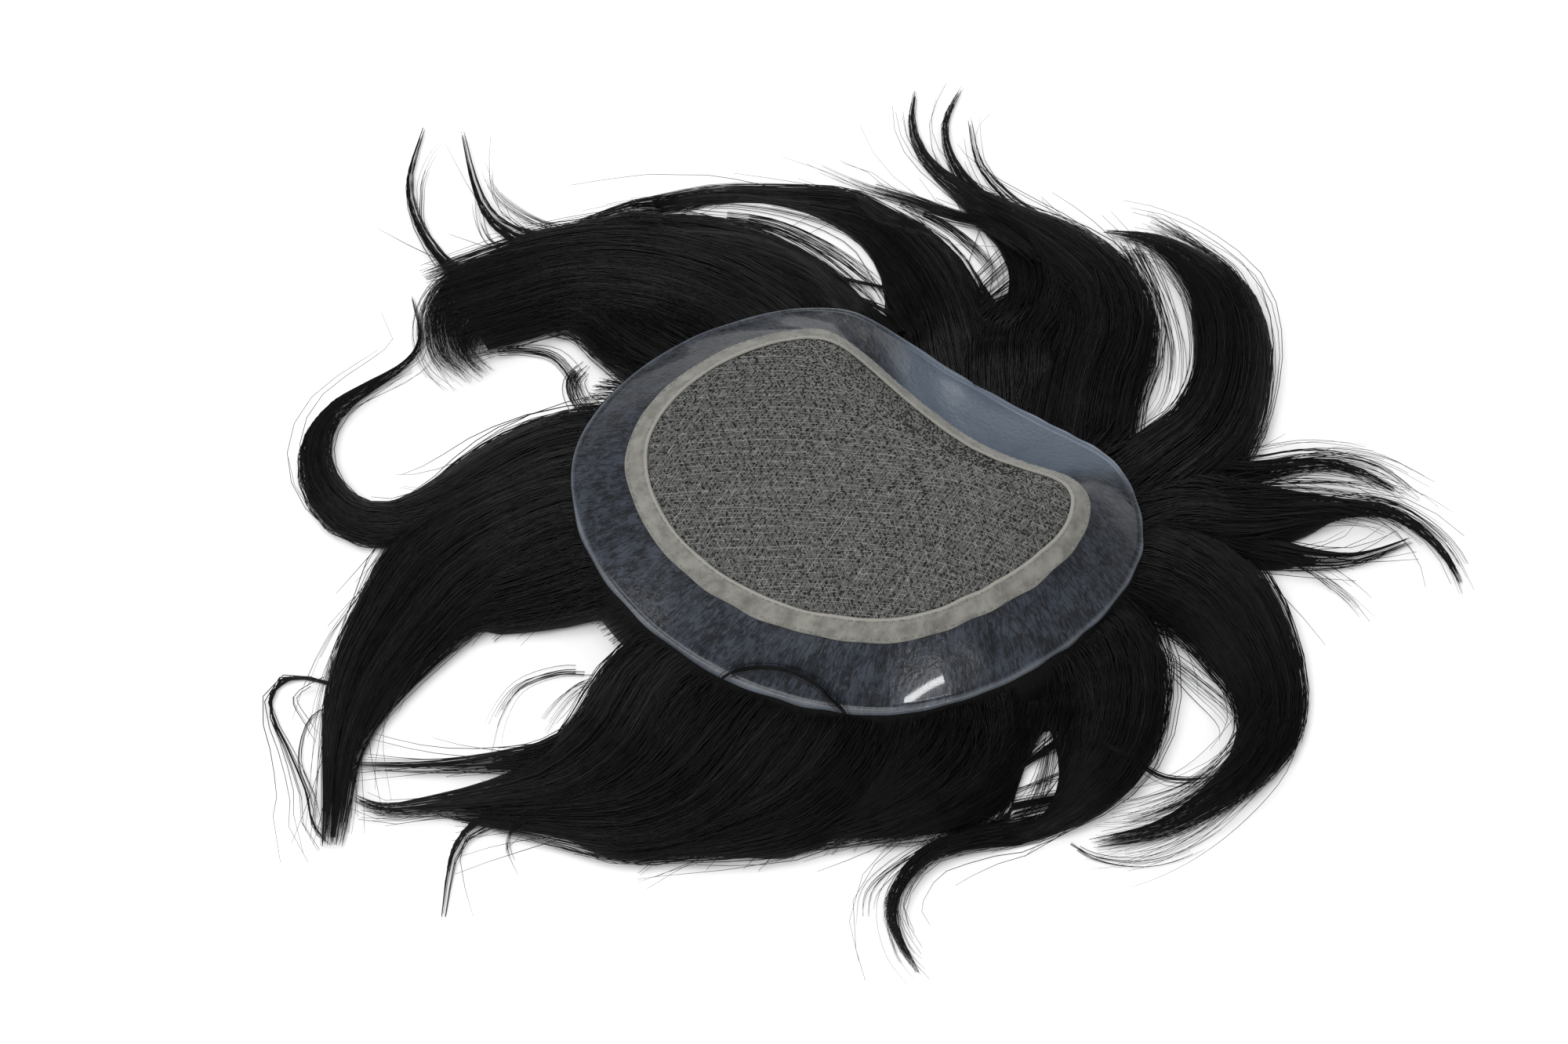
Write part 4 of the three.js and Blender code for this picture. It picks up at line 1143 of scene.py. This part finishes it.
class HairpieceHairSettings(bpy.types.PropertyGroup):
    """Sizes and colours of the hair."""

    strand_thickness: bpy.props.FloatProperty(
        name="Strand thickness", description="Thickness of a strand, coarser than real hair to show",
        default=0.00042, min=0.0001, max=0.002, unit="LENGTH", subtype="DISTANCE")
    strand_count: bpy.props.IntProperty(
        name="Strands", description="Number of strands on all the locks together",
        default=8900, min=500, max=16000)
    fall_count: bpy.props.IntProperty(
        name="Strands at the base", description="Number of strands that leave from under the base",
        default=2200, min=100, max=6000)
    point_step: bpy.props.FloatProperty(
        name="Strand step", description="Distance between the points along a strand",
        default=0.0105, min=0.004, max=0.03, unit="LENGTH", subtype="DISTANCE")
    stray_share: bpy.props.FloatProperty(
        name="Stray share", description="Share of the strands that stray from their lock",
        default=0.1, min=0, max=1, subtype="FACTOR")
    crossing_share: bpy.props.FloatProperty(
        name="Crossing share", description="Share of the strands that run across a parting",
        default=0.03, min=0, max=1, subtype="FACTOR")
    hair_colour: bpy.props.FloatVectorProperty(
        name="Hair colour", description="Black of the hair",
        default=colour("#060607"), min=0, max=1, size=3, subtype="COLOR")
    # Palest strands: partly painted sheen streaks
    streak_and_sheen_colour: bpy.props.FloatVectorProperty(
        name="Streak colour", description="Palest strands",
        default=colour("#222224"), min=0, max=1, size=3, subtype="COLOR")


class HairpieceStageSettings(bpy.types.PropertyGroup):
    """Floor and light of the stage."""

    floor_colour: bpy.props.FloatVectorProperty(
        name="Floor colour", description="Plain pale floor",
        default=colour("#f4f4f4"), min=0, max=1, size=3, subtype="COLOR")
    light_power: bpy.props.FloatProperty(
        name="Light power", description="Power of the large soft light above",
        default=34.0, min=0, max=1000, unit="POWER")
    glint_power: bpy.props.FloatProperty(
        name="Glint power", description="Power of each of the two small lights that glint on the skin",
        default=0.6, min=0, max=100, unit="POWER")
    sky_strength: bpy.props.FloatProperty(
        name="Sky strength", description="Strength of the even light from all round",
        default=0.45, min=0, max=10)


# Operators

class HAIRPIECE_OT_net(bpy.types.Operator):
    """Makes the lace of the crown with its threads and hair knots"""

    bl_idname = "hairpiece.net"
    bl_label = "Mesh crown"

    def execute(self, context):
        settings = context.scene.hairpiece_base
        bearings = np.linspace(0, 2 * np.pi, 180, endpoint=False)
        inner = skin_shown(bearings) + (TAPE_WIDTH + PIECE_GAP) / 2
        shares = inset_share(inner, bearings)
        steps = np.linspace(0.04, 1, 40)
        top = [self.ring(shares * step, bearings, -0.25) for step in steps]
        underside = [self.ring(shares * step, bearings, -WALL) for step in steps]
        closed = np.append(bearings, 2 * np.pi)
        reach = dome_arc(closed) * np.append(shares, shares[0])
        flat = [np.stack([np.cos(closed), np.sin(closed)], -1) * (reach * step)[:, None] for step in steps]
        ends = (self.ring(np.zeros(1), np.zeros(1), -0.25)[0], self.ring(np.zeros(1), np.zeros(1), -WALL)[0])
        cloth = make_object("crown_lace", [loft(top + underside[::-1], flat + flat[::-1], ends)],
                            lace_material(settings))
        threads = self.threads(settings, bearings, shares)
        knots = grown("hair_knots", self.bare_dome(bearings, shares), knot_tree(), {
            "Density": settings.knot_density, "Size": settings.knot_size, "Seed": 7, "Finish": knot_material(),
        })
        for piece in (cloth, threads, knots):
            settle(piece, "crown_net", *(["mesh_crown"] if piece is cloth else []))
        return {"FINISHED"}

    @staticmethod
    def ring(share, bearing, offset):
        return base_point(share, bearing) + base_normal(share, bearing) * offset

    def bare_dome(self, bearings, shares):
        """Open sheet over the lace that the knots are strewn on."""
        rings = [self.ring(shares * step, bearings, 0.0) for step in np.linspace(0.02, 0.97, 40)]
        uv = np.zeros((len(rings), len(bearings) + 1, 2))
        points, faces, corners = loft(rings, uv, (rings[0].mean(0), rings[-1].mean(0)))
        kept = [face for face in faces if len(points) - 1 not in face]
        mesh = bpy.data.meshes.new("bare_dome")
        mesh.from_pydata([tuple(c * MM for c in point) for point in points[:-1]], [], kept)
        thing = bpy.data.objects.new("bare_dome", mesh)
        bpy.context.scene.collection.objects.link(thing)
        return thing

    def threads(self, settings, bearings, shares):
        """Three sets of threads that cross at sixty degrees, laid out flat and wrapped on the dome."""
        rng = np.random.default_rng(3)
        pitch = settings.net_pitch / MM
        reach = dome_arc(bearings) * shares
        limit = reach.max()
        paths, radii, tints = [], [], []
        for turn in (0.0, 60.0, 120.0):
            across = np.array([-math.sin(math.radians(turn)), math.cos(math.radians(turn))])
            along = np.array([across[1], -across[0]])
            rows = np.arange(-limit, limit, pitch)
            for row in rows:
                at = np.arange(-limit, limit, 3.2)
                wobble = np.cumsum(rng.normal(size=len(at))) * 0.2
                plan = across * (row + wobble - wobble.mean())[:, None] + along * at[:, None]
                bearing = np.arctan2(plan[:, 1], plan[:, 0])
                far = np.hypot(plan[:, 0], plan[:, 1])
                bound = np.interp(bearing % (2 * np.pi), bearings, reach, period=2 * np.pi)
                inside = far < bound - 0.5
                for piece in np.split(np.arange(len(at)), np.flatnonzero(np.diff(inside)) + 1):
                    if not inside[piece[0]] or len(piece) < 3:
                        continue
                    share = far[piece] / dome_arc(bearing[piece])
                    paths.append(self.ring(share, bearing[piece], -0.06))
                    radii.append(rng.uniform(0.7, 1.3, len(piece)))
                    tints.append(rng.random())
        source = path_object("threads", paths, radii, tints)
        return grown("lace_threads", source, tube_tree(), {
            "Thickness": settings.thread_thickness, "Sides": 3, "Finish": thread_material(settings),
        })


class HAIRPIECE_OT_skin(bpy.types.Operator):
    """Makes the clear skin rim with its raised edge"""

    bl_idname = "hairpiece.skin"
    bl_label = "Skin rim"

    def execute(self, context):
        settings = context.scene.hairpiece_base
        bearings = np.linspace(0, 2 * np.pi, 300, endpoint=False)
        wander = 0.35 * waves(bearings, 11, 9, 40)
        seam = skin_shown(bearings) + (TAPE_WIDTH - PIECE_GAP) / 2
        parts = np.concatenate([np.linspace(1, 0.12, 26), []])
        rows = []
        for part in parts:
            inset = BEAD_WIDTH + (seam - BEAD_WIDTH) * (part - 0.12) / 0.88
            fade = smoothstep(part, 0.85, 0.6) if part > 0.6 else 1.0
            ripple = 0.22 * waves(bearings + part * 0.15, 5, 6, 26) * fade
            rows.append((inset, ripple))
        for step in np.linspace(0, 1, 9)[1:]:
            inset = BEAD_WIDTH * (1 - step) + wander * step
            rise = BEAD_RISE * math.sin(math.pi * min(step * 1.1, 1)) ** 0.8 - 0.25 * step ** 4
            rows.append((inset, rise + 0.22 * waves(bearings, 5, 6, 26) * (1 - step)))
        top = [base_ring(inset, bearings, offset) for inset, offset in rows]
        lip = [base_ring(rows[-1][0] - bulge, bearings, np.full(300, -drop))
               for bulge, drop in ((0.16, 0.4), (0.16, 0.7))]
        underside = [base_ring(inset + 0.1, bearings, np.full(300, -WALL)) for inset, _ in rows[::3]][::-1]
        rings = top + lip + underside
        arc = np.append(np.cumsum([0, *np.linalg.norm(np.diff(base_point(1.0, bearings), axis=0), axis=1)]), 0)
        arc[-1] = arc[-2] + np.linalg.norm(base_point(1.0, bearings[-1]) - base_point(1.0, 0.0))
        depths = [np.append(inset, inset[0]) for inset, _ in rows]
        depths += [depths[-1] * 0, depths[-1] * 0]
        depths += [np.append(inset, inset[0]) for inset, _ in rows[::3]][::-1]
        uv = [np.stack([arc, depth], -1) for depth in depths]
        piece = make_object("rim_skin_film", [loft(rings, uv)], skin_material(settings), 60)
        # Painted reflection: mask of the dent's skin, where the paler colour stands in for reflected light
        dent_reflection_side = smoothstep(np.cos(bearings - DENT_BEARING + 0.05), 0.68, 0.86)
        bare = np.concatenate([dent_reflection_side * smoothstep(np.mean(inset), 36, 30) for inset in depths])
        piece.data.attributes.new("dent_painted_reflection", "FLOAT", "POINT").data.foreach_set("value", bare)
        settle(piece, "rim_skin", "skin_rim")
        return {"FINISHED"}


class HAIRPIECE_OT_tape(bpy.types.Operator):
    """Makes the binding tape and its stitches"""

    bl_idname = "hairpiece.tape"
    bl_label = "Binding tape"

    def execute(self, context):
        settings = context.scene.hairpiece_base
        bearings = np.linspace(0, 2 * np.pi, 300, endpoint=False)
        outer = skin_shown(bearings) + 0.3 * waves(bearings, 21, 5, 34)
        inner = skin_shown(bearings) + TAPE_WIDTH + 0.15 * waves(bearings, 22, 5, 30)
        profile = [(1, 0.15), (0.985, 0.75), (0.95, 1.0), (0.9, 1.06), (0.85, 0.94), (0.7, 0.98), (0.5, 1.0),
                   (0.3, 0.98), (0.15, 0.95), (0.05, 0.88), (0.015, 0.6), (0, 0.15)]
        uneven = [0.12 * waves(bearings + k, 23, 20, 70) for k in range(len(profile))]
        top = [base_ring(outer + (inner - outer) * part, bearings,
                         PIECE_GAP + TAPE_THICKNESS * lift * (1 + wave * 0.4))
               for (part, lift), wave in zip(profile, uneven)]
        underside = [base_ring(outer + (inner - outer) * part, bearings, np.full(300, PIECE_GAP))
                     for part in (0.02, 0.33, 0.66, 0.98)]
        middle = base_ring((outer + inner) / 2, bearings, np.full(300, PIECE_GAP))
        arc = np.cumsum([0, *np.linalg.norm(np.diff(middle, axis=0, append=middle[:1]), axis=1)])
        parts = [part for part, _ in profile] + [0.02, 0.33, 0.66, 0.98]
        uv = [np.stack([arc, np.full(301, part * TAPE_WIDTH)], -1) for part in parts]
        piece = make_object("seam_tape", [loft(top + underside, uv)], tape_material(settings), 60)
        settle(piece, "tape", "binding_tape")
        around = np.linspace(0, 2 * np.pi, 400)
        paths = []
        for part in (0.14, 0.86):
            inset = skin_shown(around) + TAPE_WIDTH * part
            paths.append(base_ring(inset, around, np.full(400, PIECE_GAP + TAPE_THICKNESS * 0.98)))
        source = path_object("stitches", paths, [np.ones(400)] * 2, [0.5, 0.5])
        stitches = grown("tape_stitches", source, stitch_tree(), {
            "Pitch": settings.stitch_pitch, "Length": 0.0021, "Finish": thread_material(settings),
        })
        settle(stitches, "tape")
        return {"FINISHED"}


class HAIRPIECE_OT_locks(bpy.types.Operator):
    """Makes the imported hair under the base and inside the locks"""

    bl_idname = "hairpiece.locks"
    bl_label = "Packed hair"

    def execute(self, context):
        settings = context.scene.hairpiece_hair
        finish = under_hair_material(settings)
        bodies = [body for body in map(lock_body, LOCKS) if body]
        piece = make_object("packed_hair", [bed_body(), *bodies], finish, 70)
        settle(piece, "hair", "hair")
        return {"FINISHED"}


class HAIRPIECE_OT_strands(bpy.types.Operator):
    """Makes the strands on the locks, the strands at the base and the loose hairs"""

    bl_idname = "hairpiece.strands"
    bl_label = "Hair strands"

    def execute(self, context):
        settings = context.scene.hairpiece_hair
        finish = hair_material(settings)
        areas = {name: float((route["width"] ** 0.9 * np.gradient(np.arange(len(route["width"])))).sum())
                 for name, route in ROUTES.items()}
        whole = sum(areas.values())
        for seed, (piece_name, names) in enumerate(STRAND_PIECES.items()):
            rng = np.random.default_rng(100 + seed)
            paths, radii, tints = [], [], []
            for name in names:
                least = 8 + round(2.6 * ROUTES[name]["width"].max())
                count = max(min(least, 60), round(settings.strand_count * areas[name] / whole))
                for found, own in zip((paths, radii, tints), lock_strands(name, count, rng, settings)):
                    found += own
            self.grow(piece_name, paths, radii, tints, settings, finish)
        rng = np.random.default_rng(200)
        paths, radii, tints = fall_strands(settings.fall_count, rng, settings)
        self.grow("strands_at_base", paths, radii, tints, settings, finish)
        rng = np.random.default_rng(300)
        paths, radii, tints = stray_hairs(rng)
        for more in (route_hairs(np.array(RIM_WISP, float), 16, 2.2, rng), curled_hairs(rng)):
            paths, radii, tints = paths + more[0], radii + more[1], tints + more[2]
        self.grow("stray_hairs", paths, radii, tints, settings, finish)
        return {"FINISHED"}

    @staticmethod
    def grow(name, paths, radii, tints, settings, finish):
        source = path_object(name + "_paths", paths, radii, tints)
        piece = grown(name, source, tube_tree(), {
            "Thickness": settings.strand_thickness, "Sides": 3, "Finish": finish,
        })
        settle(piece, "hair")


class HAIRPIECE_OT_stage(bpy.types.Operator):
    """Makes the floor, the lights and the camera"""

    bl_idname = "hairpiece.stage"
    bl_label = "Stage"

    def execute(self, context):
        settings = context.scene.hairpiece_stage
        finish, tree = new_material("white_card")
        shader = add_node(tree, "ShaderNodeBsdfPrincipled", inputs={
            "Base Color": (*settings.floor_colour, 1.0), "Roughness": 0.9, "Specular IOR Level": 0.1,
        })
        finish_material(tree, shader)
        mesh = bpy.data.meshes.new("floor")
        mesh.from_pydata([(-4, -4, 0), (4, -4, 0), (4, 4, 0), (-4, 4, 0)], [], [(0, 1, 2, 3)])
        mesh.materials.append(finish)
        floor = bpy.data.objects.new("floor", mesh)
        context.scene.collection.objects.link(floor)

        world = bpy.data.worlds.new("studio")
        world.use_nodes = True
        world.node_tree.nodes.clear()
        sky = add_node(world.node_tree, "ShaderNodeBackground", inputs={
            "Color": (1.0, 1.0, 1.0, 1.0), "Strength": settings.sky_strength,
        })
        add_node(world.node_tree, "ShaderNodeOutputWorld", inputs={"Surface": sky.outputs[0]})
        context.scene.world = world

        self.light("above", (-0.5, -0.3, 1.8), (1.6, 1.6), settings.light_power)
        self.light("far_side", (0.5, 1.5, 0.5), (1.0, 1.0), settings.light_power * 0.16)
        self.light("near_glint", (0.513, -1.407, 0.582), (0.28, 0.05), settings.glint_power * 6)
        self.light("left_glint", (-1.44, -0.42, 0.56), (0.12, 0.08), settings.glint_power * 3)

        lens = bpy.data.cameras.new("camera")
        lens.lens = CAMERA_LENS
        lens.sensor_width = 36.0
        lens.clip_start = 0.05
        lens.clip_end = 20
        camera = bpy.data.objects.new("camera", lens)
        context.scene.collection.objects.link(camera)
        back = Vector((0, -math.cos(CAMERA_ELEVATION), math.sin(CAMERA_ELEVATION)))
        camera.location = CAMERA_AIM + back * CAMERA_DISTANCE
        camera.rotation_euler = (-back).to_track_quat("-Z", "Y").to_euler()
        context.scene.camera = camera
        context.scene.view_settings.view_transform = "Standard"
        return {"FINISHED"}

    @staticmethod
    def light(name, place, size, power):
        lamp = bpy.data.lights.new(name, "AREA")
        lamp.shape = "RECTANGLE"
        lamp.size, lamp.size_y = size
        lamp.energy = power
        thing = bpy.data.objects.new(name, lamp)
        thing.location = place
        thing.rotation_euler = (-Vector(place)).to_track_quat("-Z", "Y").to_euler()
        bpy.context.scene.collection.objects.link(thing)


class HAIRPIECE_PT_panel(bpy.types.Panel):
    """Lists the sizes, colours and steps of the hairpiece"""

    bl_label = "Hairpiece"
    bl_space_type = "VIEW_3D"
    bl_region_type = "UI"
    bl_category = "Hairpiece"

    def draw(self, context):
        for group in (context.scene.hairpiece_base, context.scene.hairpiece_hair, context.scene.hairpiece_stage):
            box = self.layout.box()
            for name in group.bl_rna.properties.keys():
                if name not in ("name", "rna_type"):
                    box.prop(group, name)
        for operator in OPERATORS:
            self.layout.operator(operator.bl_idname)


SETTINGS = {
    "hairpiece_base": HairpieceBaseSettings,
    "hairpiece_hair": HairpieceHairSettings,
    "hairpiece_stage": HairpieceStageSettings,
}
OPERATORS = [HAIRPIECE_OT_net, HAIRPIECE_OT_skin, HAIRPIECE_OT_tape, HAIRPIECE_OT_locks, HAIRPIECE_OT_strands,
             HAIRPIECE_OT_stage]


def register():
    for settings in SETTINGS.values():
        bpy.utils.register_class(settings)
    for name, settings in SETTINGS.items():
        setattr(bpy.types.Scene, name, bpy.props.PointerProperty(type=settings))
    for operator in OPERATORS:
        bpy.utils.register_class(operator)
    bpy.utils.register_class(HAIRPIECE_PT_panel)


def unregister():
    bpy.utils.unregister_class(HAIRPIECE_PT_panel)
    for operator in reversed(OPERATORS):
        bpy.utils.unregister_class(operator)
    for name, settings in reversed(SETTINGS.items()):
        delattr(bpy.types.Scene, name)
        bpy.utils.unregister_class(settings)


def main():
    register()
    bpy.ops.hairpiece.skin()
    bpy.ops.hairpiece.net()
    bpy.ops.hairpiece.tape()
    bpy.ops.hairpiece.locks()
    bpy.ops.hairpiece.strands()
    bpy.ops.hairpiece.stage()


if __name__ == "__main__":
    main()
